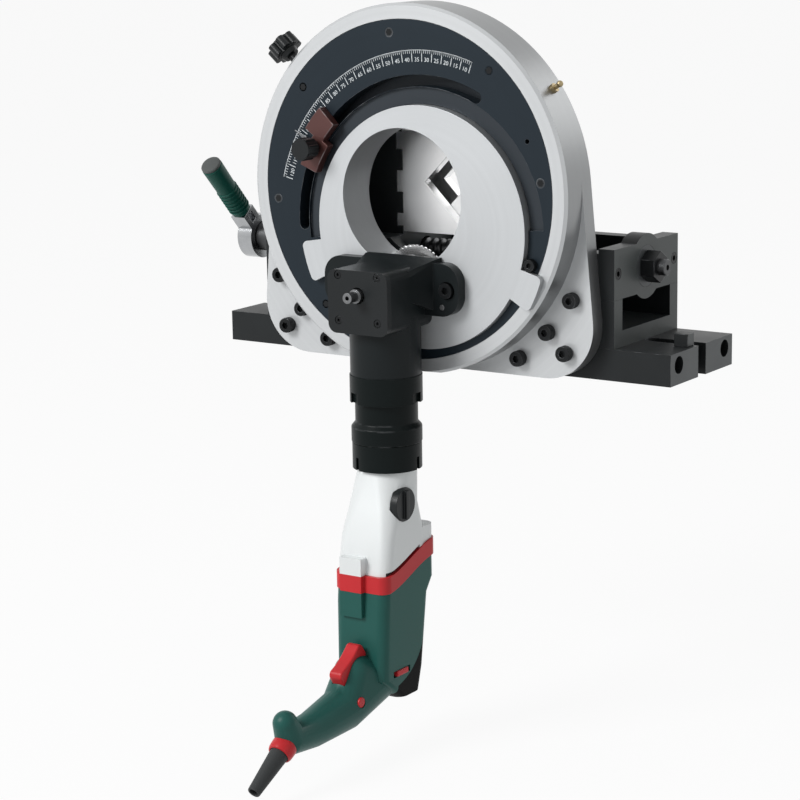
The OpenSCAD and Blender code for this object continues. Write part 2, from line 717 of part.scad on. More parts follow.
module stop_stud() color("#9fa2a4") on_stop() {
    rod_y(y_stop_knob - stud_in, y_plate_back - tee_t - y_stop_knob + stud_in + 1, m8 / 2);
    rod_y(y_plate_back - tee_t, tee_t - gap, tee_w / 2 - gap);
}

/* Eccentric disc */

drum_back = y_retainer;
pocket_y = y_blade - 6;
nose_r = 24;
left_lug = [189, 206];
right_lug = [-31, -15.9];
retainer_screw_a = [10, 62, 190, 310];
retainer_screw_r = ecc_r - 6;
module disc_lugs() {
    xz(y_disc, disc_proj - gap) {
        sector(ecc_r, lug_r, left_lug[0], left_lug[1]);
        sector(ecc_r, lug_r, right_lug[0], right_lug[1]);
    }
}
module eccentric_disc() color("#cdd0d2") difference() {
    on_disc() union() {
        rod_y(y_disc, disc_proj + disc_seat - 0.1, disc_r);
        rod_y(y_disc + 1, drum_back - y_disc - 1, ecc_r);
        disc_lugs();
    }
    on_opening() rod_y(y_disc - 1, drum_back - y_disc + 2, open_r);
    on_spindle() {
        rod_y(pocket_y, drum_back - pocket_y + 1, pocket_r);
        rod_y(y_disc - 1, pocket_y - y_disc + 2, nose_r + hole_gap);
        for (s = [-1, 1]) translate([s * ear_x - ear_shift, 0, 0])
            rod_y(y_disc - 1, ear_screw_in + 1, m8 / 2 + seat);
        ear_pin_places() rod_y(y_disc - 1, ear_pin_in + 1, ear_pin_d / 2 + seat);
    }
    on_disc() for (a = retainer_screw_a) rotate([0, -a, 0]) translate([retainer_screw_r, 0, 0])
        rod_y(drum_back - 9, 10, m4 / 2 + seat);
}
// Ring on the back of the disc that keeps it in the rotor
module disc_retainer() color("#9ea1a3") difference() {
    on_disc() rod_y(y_retainer, retainer_t, retainer_r);
    on_disc() rod_y(y_retainer - 1, retainer_t + 2, ecc_r - 12);
    on_opening() rod_y(y_retainer - 1, retainer_t + 2, open_r + 2);
    on_disc() for (a = retainer_screw_a) rotate([0, -a, 0]) translate([retainer_screw_r, 0, 0])
        rod_y(y_retainer - 1, retainer_t + 2, m4 / 2 + hole_gap);
}
module retainer_screws() color("#202225") on_disc()
    for (a = retainer_screw_a) rotate([0, -a, 0]) translate([retainer_screw_r, 0, 0]) {
        rod_y(drum_back - 8, retainer_t + 8, m4 / 2);
        rod_y(y_retainer + retainer_t, 2.2, m4 * 0.85);
    }

/* Gearbox */

ear_screw_in = 9;
ear_sink = 5;
bearing_t = 9;
bearing_r = spindle_d / 2 + 9;
y_bear_front = y_box + 2;
y_bear_rear = pocket_y - bearing_t - 3;
cavity_r = 17;
shaft_d = 12;
ear_r = 17;
ear_pin_d = 5;
ear_pin_in = 7;
ear_pin_at = [52, -14.7];
guard_w = 74;
guard_x = 3.5;
guard_rise = 26;
guard_drop = 22;
guard_t = 6;
flare_start = 10;
box_r = 8;
module ear_pin_places() {
    for (s = [-1, 1]) translate([s * ear_pin_at[0] - ear_shift, 0, ear_pin_at[1]]) children();
}
module box_outline() {
    translate([0, (z_box + z_box_top) / 2]) rounded_rect(box_w, box_h, box_r, $fn = 32);
}
// Shoulder that widens the box towards the disc and covers the front of the blade slot
module flare() {
    y_start = y_box + flare_start;
    y_guard = y_disc - guard_t;
    left = guard_x - guard_w / 2;
    right = guard_x + guard_w / 2;
    start_x = box_w / 2 - box_r;
    z_guard = z_spindle + guard_rise;
    intersection() {
        linear_extrude(height = z_guard + 1)
            polygon([[-start_x, y_start], [start_x, y_start], [right, y_guard], [right, y_disc],
                     [left, y_disc], [left, y_guard]]);
        yz(left - 1, guard_w + 2)
            polygon([[y_start, z_box_top - box_r], [y_guard, z_guard], [y_disc, z_guard],
                     [y_disc, z_spindle - guard_drop], [y_start, z_spindle]]);
    }
}
module gearbox_housing() color("#2c2f31") difference() {
    union() {
        xz(y_box, box_d) box_outline();
        flare();
        on_spindle() {
            translate([-ear_shift, 0, 0]) xz(y_disc - ear_t, ear_t)
                rounded_rect(2 * (ear_x + ear_end), ear_h, ear_r);
            rod_y(y_disc - 1, pocket_y - y_disc, nose_r);
        }
        on_motor(z_neck) cylinder(d = box_neck_d, h = box_neck_l + 10);
    }
    on_disc() difference() {
        rod_y(y_disc, box_neck_d, disc_r + 1);
        translate([-ecc_x, 0, ecc_z - spindle_drop]) rod_y(y_disc - 1, box_neck_d + 2, nose_r);
    }
    on_spindle() {
        rod_y(y_box - 1, pocket_y - y_box + 2, spindle_d / 2 + 2);
        rod_y(y_box - 1, y_bear_front - y_box + 1 + bearing_t, bearing_r + seat);
        rod_y(y_bear_rear, bearing_t + 4, bearing_r + seat);
        rod_y(y_bear_front + bearing_t + 3, y_bear_rear - y_bear_front - bearing_t - 6, cavity_r);
        for (s = [-1, 1]) translate([s * ear_x - ear_shift, 0, 0]) {
            rod_y(y_disc - ear_t - 1, ear_t + 2, m8 / 2 + hole_gap);
            rod_y(y_disc - ear_t - 1, ear_sink + 1, m8 * head_k / 2 + 1);
        }
        ear_pin_places() rod_y(y_disc - ear_t - 1, ear_t + 2, ear_pin_d / 2 + seat);
        for (p = cover_screw_at) translate([p[0], 0, p[1]]) rod_y(y_box - 1, 9, m4 / 2 + seat);
    }
    on_motor(z_neck - 1) cylinder(r = pinion_room, h = z_spindle - z_neck);
    for (z = shaft_bearing_z) on_motor(z) cylinder(r = bearing_r + seat, h = bearing_t);
    on_motor(z_neck - 1) cylinder(r = bearing_r + seat, h = shaft_bearing_z[1] - z_neck + 2);
}

cover_screw_x = box_w / 2 - 10.3;
cover_screw_top = box_over - 4.5;
cover_screw_low = box_over - box_h + 11;
cover_screw_at = [for (x = [-1, 1], z = [cover_screw_top, cover_screw_low]) [x * cover_screw_x, z]];
module gearbox_cover() color("#2f3234") difference() {
    xz(y_box - cover_t, cover_t) box_outline();
    on_spindle() {
        rod_y(y_box - cover_t - 1, cover_t + 2, spindle_d / 2 + 1);
        for (p = cover_screw_at) translate([p[0], 0, p[1]]) {
            rod_y(y_box - cover_t - 1, cover_t + 2, m4 / 2 + hole_gap);
            rod_y(y_box - cover_t - 1, 4, m4 * 0.9);
        }
    }
}
module cover_screws() color("#9a9d9f") on_spindle()
    for (p = cover_screw_at) translate([p[0], 0, p[1]]) difference() {
        union() {
            rod_y(y_box - cover_t + 3 - 2.6, 2.6, m4 * 0.8);
            rod_y(y_box - cover_t + 2, cover_t + 5, m4 / 2);
        }
        translate([0, y_box - cover_t, 0]) rotate([-90, 0, 0]) cylinder(d = 3, h = 2, $fn = 6);
    }
module ear_screws() color("#2a2c2e") on_spindle()
    for (s = [-1, 1]) translate([s * ear_x - ear_shift, 0, 0])
        cap_screw_y(m8, ear_t - ear_sink + ear_screw_in - 1, y_disc - ear_t + ear_sink);

module ear_pins() color("#b5b8ba") on_spindle()
    ear_pin_places() rod_y(y_disc - ear_t, ear_t + ear_pin_in - 1, ear_pin_d / 2);

// Ring bearings in the gearbox, each a plain ring of the outer sizes
module spindle_bearings() color("#c2c5c7") on_spindle()
    for (y = [y_bear_front, y_bear_rear]) difference() {
        rod_y(y, bearing_t, bearing_r);
        rod_y(y - 1, bearing_t + 2, spindle_d / 2 + run);
    }
nose_out = 11;
module spindle() color("#b5b8ba") on_spindle() difference() {
    union() {
        rod_y(y_box - cover_t - 4, y_blade + 12 - y_box + cover_t + 4, spindle_d / 2);
        rod_y(y_box - cover_t - 4 - nose_out, nose_out + 1, spindle_d / 2 - 1.5);
        rod_y(y_blade - 3, 3, 11);
    }
    rod_y(y_box - cover_t - 5 - nose_out, 8, 1.8);
}
// Bevel pair two to one: both pitch cones meet where the spindle and the drive shaft cross
gear_ratio = 2;
pinion_a = atan(1 / gear_ratio);
cone_out = 17;
cone_in = 11;
gear_back = 5;
tooth_w = 1.6;
tooth_h = 1.4;
pinion_teeth = 12;
pinion_room = cone_out * sin(pinion_a) + 2;
module crown_gear() color("#a9acae") on_spindle() translate([0, y_motor + gap, 0]) difference() {
    union() {
        translate([0, cone_in * sin(pinion_a), 0]) rotate([-90, 0, 0])
            cylinder(r1 = cone_in * cos(pinion_a), r2 = cone_out * cos(pinion_a),
                     h = (cone_out - cone_in) * sin(pinion_a));
        rod_y(cone_out * sin(pinion_a), gear_back, cone_out * cos(pinion_a));
    }
    rod_y(0, cone_out + gear_back, spindle_d / 2 + seat);
    for (i = [0 : gear_ratio * pinion_teeth - 1]) rotate([0, i * 360 / gear_ratio / pinion_teeth, 0])
        rotate([0, 0, pinion_a]) translate([cone_in - 1, -tooth_h, -tooth_w / 2])
            cube([cone_out, 2 * tooth_h, tooth_w]);
}
blade_root = 1.7;
module saw_blade() color("#b4b7b8") on_spindle() difference() {
    rod_y(y_blade, blade_t, blade_d / 2);
    rod_y(y_blade - 1, blade_t + 2, spindle_d / 2 + seat);
    for (i = [0 : blade_teeth - 1]) rotate([0, i * 360 / blade_teeth, 0]) xz(y_blade - 1, blade_t + 2)
        polygon([polar(blade_d / 2 - blade_root, 0), polar(blade_d / 2 + 1, -1.2),
                 polar(blade_d / 2 + 1, 240 / blade_teeth)]);
}
module blade_nut() color("#777a7c") on_spindle() difference() {
    translate([0, y_blade + blade_t, 0]) rotate([-90, 0, 0]) cylinder(d = 20 / cos(30), h = 8, $fn = 6);
    rod_y(y_blade, 12, spindle_d / 2 + seat);
}
shaft_bearing_z = [z_neck, z_neck + 22];
module drive_shaft() color("#b0b3b5") difference() {
    union() {
        on_motor(z_clamp + 8) cylinder(d = shaft_d, h = z_spindle - cone_out * cos(pinion_a) - z_clamp - 7);
        on_motor(z_spindle - gap - cone_out * cos(pinion_a))
            cylinder(r1 = cone_out * sin(pinion_a), r2 = cone_in * sin(pinion_a),
                     h = (cone_out - cone_in) * cos(pinion_a));
    }
    on_motor(z_spindle - gap) for (i = [0 : pinion_teeth - 1]) rotate([0, 0, i * 360 / pinion_teeth])
        rotate([0, 90 - pinion_a, 0]) translate([cone_in - 1, -tooth_w / 2, -tooth_h])
            cube([cone_out - cone_in + 2, tooth_w, 2 * tooth_h]);
}
module shaft_bearings() color("#c2c5c7") for (z = shaft_bearing_z) on_motor(z) difference() {
    cylinder(r = bearing_r, h = bearing_t);
    translate([0, 0, -1]) cylinder(d = shaft_d + 2 * run, h = bearing_t + 2);
}

/* Adapter and motor */

notch_a = [2, 122, 242];
notch_w = 12;
notch_h = 10;
tube_d = 42;
shaft_room_d = 24;
collar_cone_h = 4;
module adapter_sleeve() color("#27292b") difference() {
    union() {
        on_motor(z_adapter) cylinder(d = adapter_d, h = adapter_h);
        on_motor(z_lock) cylinder(d = tube_d, h = lock_h + waist_h + 1);
    }
    on_motor(z_lock - 1) cylinder(d = shaft_room_d, h = z_neck - z_lock + 2);
    for (a = notch_a) on_motor(z_adapter - 1) rotate([0, 0, a])
        translate([adapter_d / 2 - 3, -notch_w / 2, 0]) cube([6, notch_w, notch_h]);
}
// Collar with a flared grip that turns on the adapter's tube
module lock_collar() color("#2b2d30") on_motor(z_lock) difference() {
    union() {
        translate([0, 0, gap]) cylinder(d = box_neck_d, h = lock_h - collar_cone_h);
        translate([0, 0, gap + lock_h - collar_cone_h])
            cylinder(d1 = box_neck_d, d2 = waist_d, h = collar_cone_h);
        translate([0, 0, lock_h]) cylinder(d = waist_d, h = waist_h - gap);
    }
    translate([0, 0, -1]) cylinder(d = tube_d + 2 * run, h = lock_h + waist_h + 2);
}
clamp_notch = [6, 4, 12];
module clamp_ring() color("#232527") on_motor(z_clamp) difference() {
    cylinder(d = box_neck_d - 1, h = clamp_h);
    translate([0, 0, -1]) cylinder(d = collar_d + 2 * seat, h = clamp_h - 1);
    translate([0, 0, -1]) cylinder(d = shaft_room_d, h = clamp_h + 2);
    for (a = notch_a) rotate([0, 0, a + 3])
        translate([box_neck_d / 2 - 3, -clamp_notch[1] / 2, -1]) cube(clamp_notch);
}

// Cross sections of the motor: rounded rectangles between a front and a back line of the drive axis
nose_d = 51;
mid_drop = 30;
shoulder_drop = 56;
band_drop = 86;
body_r = 9;
mid_z = z_clamp - mid_drop;
shoulder_z = z_clamp - shoulder_drop;
band_front_z = z_clamp - band_drop;
module section(z, front, back, w, r, h = thin) {
    on_motor(z) translate([0, (back - front) / 2, 0]) linear_extrude(height = h)
        rounded_rect(w, front + back, r, $fn = 32);
}
module nose_section() {
    on_motor(z_clamp - thin) cylinder(d = nose_d, h = thin, $fn = 32);
}
module mid_section() {
    section(mid_z, motor_front - 14, motor_back - 16, motor_w - 3, body_r + 7);
}
module shoulder_section() {
    section(shoulder_z, motor_front - 6, motor_back - 13, motor_w - 1, body_r + 2);
}

// The shells part on a line that lies level at the front and rises in an S to the back
band_h = 15;
band_rise = 20;
band_steps = 12;
seam = 0.03;
function band_lift(t) = band_rise * t * t * (3 - 2 * t);
band_line = [for (i = [0 : band_steps]) let (t = i / band_steps)
             [y_motor - motor_front + t * (motor_front + motor_back), band_front_z + band_lift(t)]];
module below_band(drop) {
    ends = [band_line[0] - [motor_w, drop], band_line[band_steps] + [motor_w, -drop]];
    yz(-motor_w, 2 * motor_w) polygon(concat(
        [[ends[0][0], z_end - motor_w], ends[0]], [for (p = band_line) p - [0, drop]],
        [ends[1], [ends[1][0], z_end - motor_w]]));
}
selector_d = 29;
selector_z = mid_z + 2;
selector_lead = 13.5;
selector_x = motor_w / 2 - 7;
selector_t = 7;
vent_h = 3;
vent_deep = 3;
vent_back = 8;
fin_h = 32;
front_boss = [22, 9, 52];
front_boss_x = -6;
front_boss_z = band_front_z - 37;
module boss() {
    translate([front_boss_x - front_boss[0] / 2, y_motor - motor_front - front_boss[1], front_boss_z])
        cube(front_boss + [0, motor_front / 2, 0]);
}
module gear_case() color("#d3d6d8") {
    difference() {
        union() {
            hull() {
                nose_section();
                mid_section();
            }
            hull() {
                mid_section();
                shoulder_section();
            }
            hull() {
                shoulder_section();
                section(band_front_z - band_h, motor_front, motor_back - 11, motor_w, body_r);
            }
            section(band_front_z - band_h, 0, motor_back, motor_w - 2, body_r, band_h + fin_h);
            boss();
        }
        below_band(0);
        on_motor(selector_z) translate([0, -selector_lead, 0]) rod_x(selector_x, 60, selector_d / 2 + gap);
        for (s = [-1, 1]) vent_slit(s);
    }
    on_motor(z_clamp - thin) difference() {
        cylinder(d = collar_d, h = clamp_h - 2 + thin - seat);
        translate([0, 0, 6]) cylinder(d = shaft_room_d - 6, h = clamp_h);
    }
}
// Air slit on each flank between the gear case and the band
module vent_slit(side) intersection() {
    below_band(-vent_h);
    translate([side * motor_w / 2 - vent_deep, y_motor - motor_front, band_front_z - band_h])
        cube([2 * vent_deep, motor_front + vent_back, band_h + band_rise + vent_h]);
}
module selector_cap() color("#1b1d1f") on_motor(selector_z) translate([0, -selector_lead, 0]) {
    rod_x(selector_x + gap, selector_t, selector_d / 2);
    translate([selector_x + gap + selector_t, -2.5, 2 - selector_d / 2]) cube([2.5, 5, selector_d - 4]);
}
module red_band() color("#c0272d") difference() {
    intersection() {
        union() {
            section(band_front_z - 2 * band_h, motor_front + 0.5, motor_back + 0.5, motor_w + 1, body_r,
                    2 * band_h + band_rise + 2);
            boss();
        }
        below_band(seam);
    }
    below_band(band_h);
}

// Motor body below the band: a step under the band's back, then a long taper to the end
step_drop = 27;
step_h = 12;
low_z = z_end + 28;
module motor_lower() {
    intersection() {
        union() {
            section(band_front_z - step_drop + step_h, motor_front, motor_back - 1, motor_w - 1, body_r,
                    step_drop + band_rise);
            hull() {
                section(band_front_z - step_drop + step_h, motor_front, motor_back - 1, motor_w - 1, body_r);
                section(band_front_z - step_drop, motor_front + 1, motor_back - 10, motor_w - 1, body_r);
            }
            hull() {
                section(band_front_z - step_drop, motor_front + 1, motor_back - 10, motor_w - 1, body_r);
                section(low_z, motor_front + 3, motor_back - 18, motor_w - 3, body_r);
            }
            hull() {
                section(low_z, motor_front + 3, motor_back - 18, motor_w - 3, body_r);
                section(z_end + 6, motor_front - 26, motor_back - 22, motor_w - 6, body_r);
            }
            boss();
        }
        below_band(band_h + seam);
    }
}
// The dark cap takes the lower back corner, parted from the green shell on a round line
cap_r = 55;
cap_lead = 38;
cap_up = 73;
cap_h = 82;
cap_front = 26;
module behind_cap(ahead) difference() {
    translate([-motor_w, y_motor - cap_front, z_end - motor_w])
        cube([2 * motor_w, 3 * motor_w, cap_h + motor_w + ahead]);
    translate([0, y_motor - cap_lead, z_end + cap_up]) rod_x(-2 * motor_w, 4 * motor_w, cap_r - ahead);
}
module rear_cap() color("#17191b") intersection() {
    motor_lower();
    behind_cap(0);
}

// Grip balls along the swept handle: distance ahead of the drive axis, height above the end, diameter
grip_balls = [[30, 24, handle_w + 8], [74, 9.5, handle_w + 3], [120, 4.5, handle_w - 5],
              [handle_reach - 6, 5, handle_w - 10], [handle_reach + 1, 21, handle_w - 15],
              [58, 36, handle_w - 2]];
module grip_ball(i) {
    translate([0, y_motor - grip_balls[i][0], z_end + grip_balls[i][1]])
        sphere(d = grip_balls[i][2], $fn = 32);
}
module motor_case() color("#1c4a3e") difference() {
    union() {
        difference() {
            motor_lower();
            behind_cap(seam);
        }
        difference() {
            hull() {
                grip_ball(0);
                grip_ball(1);
                grip_ball(5);
            }
            behind_cap(seam);
        }
        for (pair = [[1, 2], [2, 3], [4, 3]]) hull() {
            grip_ball(pair[0]);
            grip_ball(pair[1]);
        }
    }
    on_guard() translate([0, 0, guard_in]) cylinder(d = ring_d + 2 * seat, h = handle_w);
    on_guard() translate([0, 0, guard_in - guard_foot]) cylinder(d = guard_foot_d + 2 * seat, h = handle_w);
    trigger_space();
    on_button() cylinder(d = button_d + 2 * gap, h = handle_w);
    on_slider() translate([-slider_l / 2 - slider_travel - gap, -slider_w / 2 - gap, -gap])
        cube([slider_l + 2 * slider_travel + 2 * gap, slider_w + 2 * gap, 20]);
}

trigger_w = 13;
trigger_len = 39;
trigger_deep = 16;
trigger_h = 21;
trigger_tilt = 34;
trigger_lead = 65;
trigger_z = 44;
module in_trigger() {
    translate([0, y_motor - trigger_lead, z_end + trigger_z]) rotate([trigger_tilt, 0, 0]) children();
}
module trigger_space() {
    in_trigger() translate([-trigger_w / 2 - gap, -trigger_len / 2 - gap, -trigger_deep])
        cube([trigger_w + 2 * gap, trigger_len + 2 * gap, 2 * trigger_h]);
}
finger_d = 80;
module trigger() color("#d02b30") in_trigger() difference() {
    translate([-trigger_w / 2, -trigger_len / 2, trigger_travel + gap - trigger_deep])
        cube([trigger_w, trigger_len, trigger_h]);
    translate([-trigger_w, 0, finger_d / 2 + 6]) rotate([0, 90, 0]) cylinder(d = finger_d, h = 2 * trigger_w);
}

button_d = 9;
button_l = 9;
button_travel = 2;
button_lead = 73;
button_z = 17;
module on_button() {
    translate([handle_w / 2 - 10, y_motor - button_lead, z_end + button_z]) rotate([0, 90, 0]) children();
}
module lock_button() color("#b32930") on_button()
    translate([0, 0, button_travel + gap]) cylinder(d = button_d, h = button_l);

slider_l = 17;
slider_w = 5;
slider_h = 8;
slider_travel = 4;
slider_lead = 21;
slider_z = 31;
module on_slider() {
    translate([motor_w / 2 - slider_h, y_motor - slider_lead, z_end + slider_z])
        rotate([90, 0, 90]) children();
}
module direction_slider() color("#b32930") on_slider() translate([-slider_l / 2, -slider_w / 2, 0])
    cube([slider_l, slider_w, slider_h]);

// Cord entry: a ring seated in the end of the grip and a bend guard through it
ring_d = 19;
ring_h = 8;
guard_in = -4;
guard_foot = 6;
guard_foot_d = 13;
guard_bore_d = 7.5;
guard_tilt = 31;
module on_guard() {
    translate([0, y_motor - handle_reach, z_end + 3]) rotate([90 + guard_tilt, 0, 0]) children();
}
module cord_ring() color("#b5343a") on_guard() difference() {
    translate([0, 0, guard_in]) cylinder(d = ring_d, h = ring_h - guard_in);
    translate([0, 0, guard_in - 1]) cylinder(d = guard_foot_d + 2 * seat, h = ring_h - guard_in + 2);
}
module cord_guard() color("#3b3d3e") on_guard() difference() {
    union() {
        translate([0, 0, guard_in - guard_foot])
            cylinder(d = guard_foot_d, h = ring_h + guard_foot - guard_in + 1);
        translate([0, 0, ring_h])
            cylinder(d1 = guard_foot_d + 4, d2 = guard_foot_d - 2, h = guard_l - ring_h);
    }
    translate([0, 0, guard_in - guard_foot - 1]) cylinder(d = guard_bore_d, h = 2 * guard_l);
}

base_plate();
base_stop();
base_screws();
vise_body();
keeper_left();
keeper_right();
keeper_screws();
screw_bushes();
vise_screw();
drive_hex();
lever_clip();
clamp_lever();
lever_grip();
jaw_slide_left();
jaw_slide_right();
jaw_plates_left();
jaw_plates_right();
slide_nut_left();
slide_nut_right();
housing();
housing_screws();
rotor_bush();
grease_nipple();
lock_knob();
lock_stem();
rotor_plate();
rotor_body();
plate_screws_set();
retract_stop();
size_stop();
stop_knob();
stop_stud();
eccentric_disc();
disc_retainer();
retainer_screws();
gearbox_housing();
gearbox_cover();
cover_screws();
ear_screws();
ear_pins();
spindle_bearings();
spindle();
crown_gear();
saw_blade();
blade_nut();
drive_shaft();
shaft_bearings();
adapter_sleeve();
lock_collar();
clamp_ring();
gear_case();
selector_cap();
red_band();
motor_case();
rear_cap();
trigger();
lock_button();
direction_slider();
cord_ring();
cord_guard();
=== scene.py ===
import bmesh
import bpy
import json
import math
from mathutils import Matrix, Vector

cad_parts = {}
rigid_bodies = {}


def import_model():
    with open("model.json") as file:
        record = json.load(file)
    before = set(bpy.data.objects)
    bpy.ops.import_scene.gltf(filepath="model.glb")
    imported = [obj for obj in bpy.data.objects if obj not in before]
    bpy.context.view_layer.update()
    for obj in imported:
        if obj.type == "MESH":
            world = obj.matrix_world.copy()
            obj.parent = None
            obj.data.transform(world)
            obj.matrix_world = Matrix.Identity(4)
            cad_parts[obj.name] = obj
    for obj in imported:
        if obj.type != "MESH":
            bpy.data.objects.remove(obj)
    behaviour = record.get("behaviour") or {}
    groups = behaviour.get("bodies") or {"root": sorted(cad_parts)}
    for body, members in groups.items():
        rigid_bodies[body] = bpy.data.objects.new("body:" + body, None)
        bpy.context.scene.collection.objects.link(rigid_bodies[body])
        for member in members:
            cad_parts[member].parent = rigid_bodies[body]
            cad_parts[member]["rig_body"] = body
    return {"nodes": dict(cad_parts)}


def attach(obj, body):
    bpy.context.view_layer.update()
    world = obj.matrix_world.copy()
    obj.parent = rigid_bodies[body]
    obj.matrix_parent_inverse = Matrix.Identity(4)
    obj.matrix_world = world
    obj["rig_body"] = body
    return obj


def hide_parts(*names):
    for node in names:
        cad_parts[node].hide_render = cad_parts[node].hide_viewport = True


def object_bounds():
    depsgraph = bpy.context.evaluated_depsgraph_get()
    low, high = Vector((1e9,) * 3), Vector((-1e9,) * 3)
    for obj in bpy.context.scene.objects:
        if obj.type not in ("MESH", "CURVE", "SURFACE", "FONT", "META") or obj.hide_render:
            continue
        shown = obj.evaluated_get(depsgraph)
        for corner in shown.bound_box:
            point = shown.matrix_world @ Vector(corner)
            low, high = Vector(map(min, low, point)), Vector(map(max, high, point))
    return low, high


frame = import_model()
cad_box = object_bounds()
nodes = frame["nodes"]

# Studio
# A sheet of white paper under the machine, soft lamps round it and a long lens that looks
# at its front from the right, a little from above.
picture_side, focal_pixels, sensor = 800, 2401.7, 36
camera_reach, far_clip = 2.0875, 100
target = Vector((-0.0083, -0.099, -0.0278))
azimuth, elevation, roll = math.radians(33.8), math.radians(11.97), math.radians(-0.94)
back = Vector((math.sin(azimuth) * math.cos(elevation), -math.cos(azimuth) * math.cos(elevation),
               math.sin(elevation)))
level = Vector((math.cos(azimuth), math.sin(azimuth), 0))
upright = back.cross(level)
right = level * math.cos(roll) + upright * math.sin(roll)
above = upright * math.cos(roll) - level * math.sin(roll)


def set_out(name, data):
    """Adds an object to the scene, at the origin."""
    made = bpy.data.objects.new(name, data)
    bpy.context.scene.collection.objects.link(made)
    return made


lens = bpy.data.cameras.new("studio_camera")
lens.sensor_width = sensor
lens.lens = focal_pixels * sensor / picture_side
lens.clip_end = far_clip
camera = set_out("studio_camera", lens)
camera.matrix_world = Matrix((right, above, back)).transposed().to_4x4()
camera.location = target + back * camera_reach
bpy.context.scene.camera = camera
bpy.context.scene.view_settings.view_transform = "Standard"


class Wire:
    """A socket that takes part in sums."""

    def __init__(self, tree, socket):
        self.tree, self.socket = tree, socket

    def work(self, operation, *terms):
        return Nodes(self.tree).node("ShaderNodeMath", {"operation": operation},
                                     dict(enumerate(terms)))

    def __add__(self, other):
        return self.work("ADD", self, other)

    def __sub__(self, other):
        return self.work("SUBTRACT", self, other)

    def __rsub__(self, other):
        return self.work("SUBTRACT", other, self)

    def __mul__(self, other):
        return self.work("MULTIPLY", self, other)

    def __rtruediv__(self, other):
        return self.work("DIVIDE", other, self)

    __radd__, __rmul__ = __add__, __mul__


class Nodes:
    """A node tree, and the one way to add a node to it."""

    def __init__(self, tree):
        self.tree = tree

    def node(self, kind, settings=None, sockets=None, out=0):
        made = self.tree.nodes.new(kind)
        for name, value in (settings or {}).items():
            setattr(made, name, value)
        for name, value in (sockets or {}).items():
            if isinstance(value, Wire):
                self.tree.links.new(value.socket, made.inputs[name])
            else:
                made.inputs[name].default_value = value
        return Wire(self.tree, made.outputs[out]) if len(made.outputs) else None


class Finish(Nodes):
    """The node tree of one surface, or of the sky."""

    def __init__(self, owner):
        owner.use_nodes = True
        super().__init__(owner.node_tree)
        self.owner = owner
        self.tree.nodes.clear()

    def place(self):
        return self.node("ShaderNodeTexCoord", out="Object")

    def stretch(self, place, scale):
        return self.node("ShaderNodeMapping", {}, {"Vector": place, "Scale": scale})

    def mix(self, share, first, second):
        first, second = (c if isinstance(c, Wire) else (*c, 1) for c in (first, second))
        return self.node("ShaderNodeMix", {"data_type": "RGBA"},
                         {0: share, 6: first, 7: second}, out=2)

    def noise(self, place, scale, detail):
        return self.node("ShaderNodeTexNoise", {},
                         {"Vector": place, "Scale": scale, "Detail": detail})

    def ramp(self, value, low, high):
        return self.node("ShaderNodeMapRange", {"interpolation_type": "SMOOTHSTEP"},
                         {"Value": value, "From Min": low, "From Max": high})

    def show(self, shader):
        kind = "World" if isinstance(self.owner, bpy.types.World) else "Material"
        self.node("ShaderNodeOutput" + kind, {}, {"Surface": shader})

    def surface(self, colour, roughness, height, bump, depth=0.0002, metallic=0.0, gloss=0.5):
        normal = self.node("ShaderNodeBump", {},
                           {"Height": height, "Strength": bump, "Distance": depth})
        self.show(self.node("ShaderNodeBsdfPrincipled", {}, {
            "Base Color": colour, "Roughness": roughness, "Metallic": metallic,
            "Specular IOR Level": gloss, "Normal": normal}))
        return self.owner


def seen(finish):
    """Whether a ray looks at the background: from the camera, in a gloss or through glass."""
    camera_ray, glossy_ray, glass_ray = (finish.node("ShaderNodeLightPath", out=ray) for ray in (
        "Is Camera Ray", "Is Glossy Ray", "Is Transmission Ray"))
    return camera_ray + glossy_ray + glass_ray


pure_white, sky_tint, sky_strength = (1, 1, 1, 1), (0.97, 0.985, 1, 1), 0.22
sky = Finish(bpy.data.worlds.new("studio_sky"))
bpy.context.scene.world = sky.owner
bright_sky = sky.node("ShaderNodeBackground", {}, {"Color": pure_white, "Strength": 1.0})
soft_sky = sky.node("ShaderNodeBackground", {}, {"Color": sky_tint, "Strength": sky_strength})
sky.show(sky.node("ShaderNodeMixShader", {}, {0: seen(sky), 1: soft_sky, 2: bright_sky}))

paper_white, paper_glow = (0.92, 0.92, 0.92, 1), 0.93
paper = Finish(bpy.data.materials.new("studio_paper"))
shaded = paper.node("ShaderNodeBsdfDiffuse", {}, {"Color": paper_white})
glow = paper.node("ShaderNodeEmission", {}, {"Color": pure_white, "Strength": 1.0})
paper.show(paper.node("ShaderNodeMixShader", {}, {0: paper_glow * seen(paper), 1: shaded, 2: glow}))
floor_gap, floor_side, floor_back = 0.012, 30, 60
floor_z = cad_box[0].z - floor_gap
floor = bpy.data.meshes.new("paper_floor")
floor.from_pydata([(-floor_side, -floor_side, floor_z), (floor_side, -floor_side, floor_z),
                   (floor_side, floor_back, floor_z), (-floor_side, floor_back, floor_z)],
                  [], [(0, 1, 2, 3)])
floor.materials.append(paper.owner)
set_out("paper_floor", floor)

lamp_aim = Vector((0, -0.09, 0.1))
for name, spot, size, power in (("key_lamp", (-1.2, -2.5, 1.8), 1.3, 80),
                                ("fill_lamp", (2.3, -0.6, 0.6), 1.4, 2.0),
                                ("rim_lamp", (0.9, 2.6, 1.2), 1.3, 10)):
    lamp = bpy.data.lights.new(name, "AREA")
    lamp.energy, lamp.size = power, size
    lamp = set_out(name, lamp)
    lamp.location = spot
    lamp.rotation_euler = (lamp_aim - Vector(spot)).to_track_quat("-Z", "Y").to_euler()

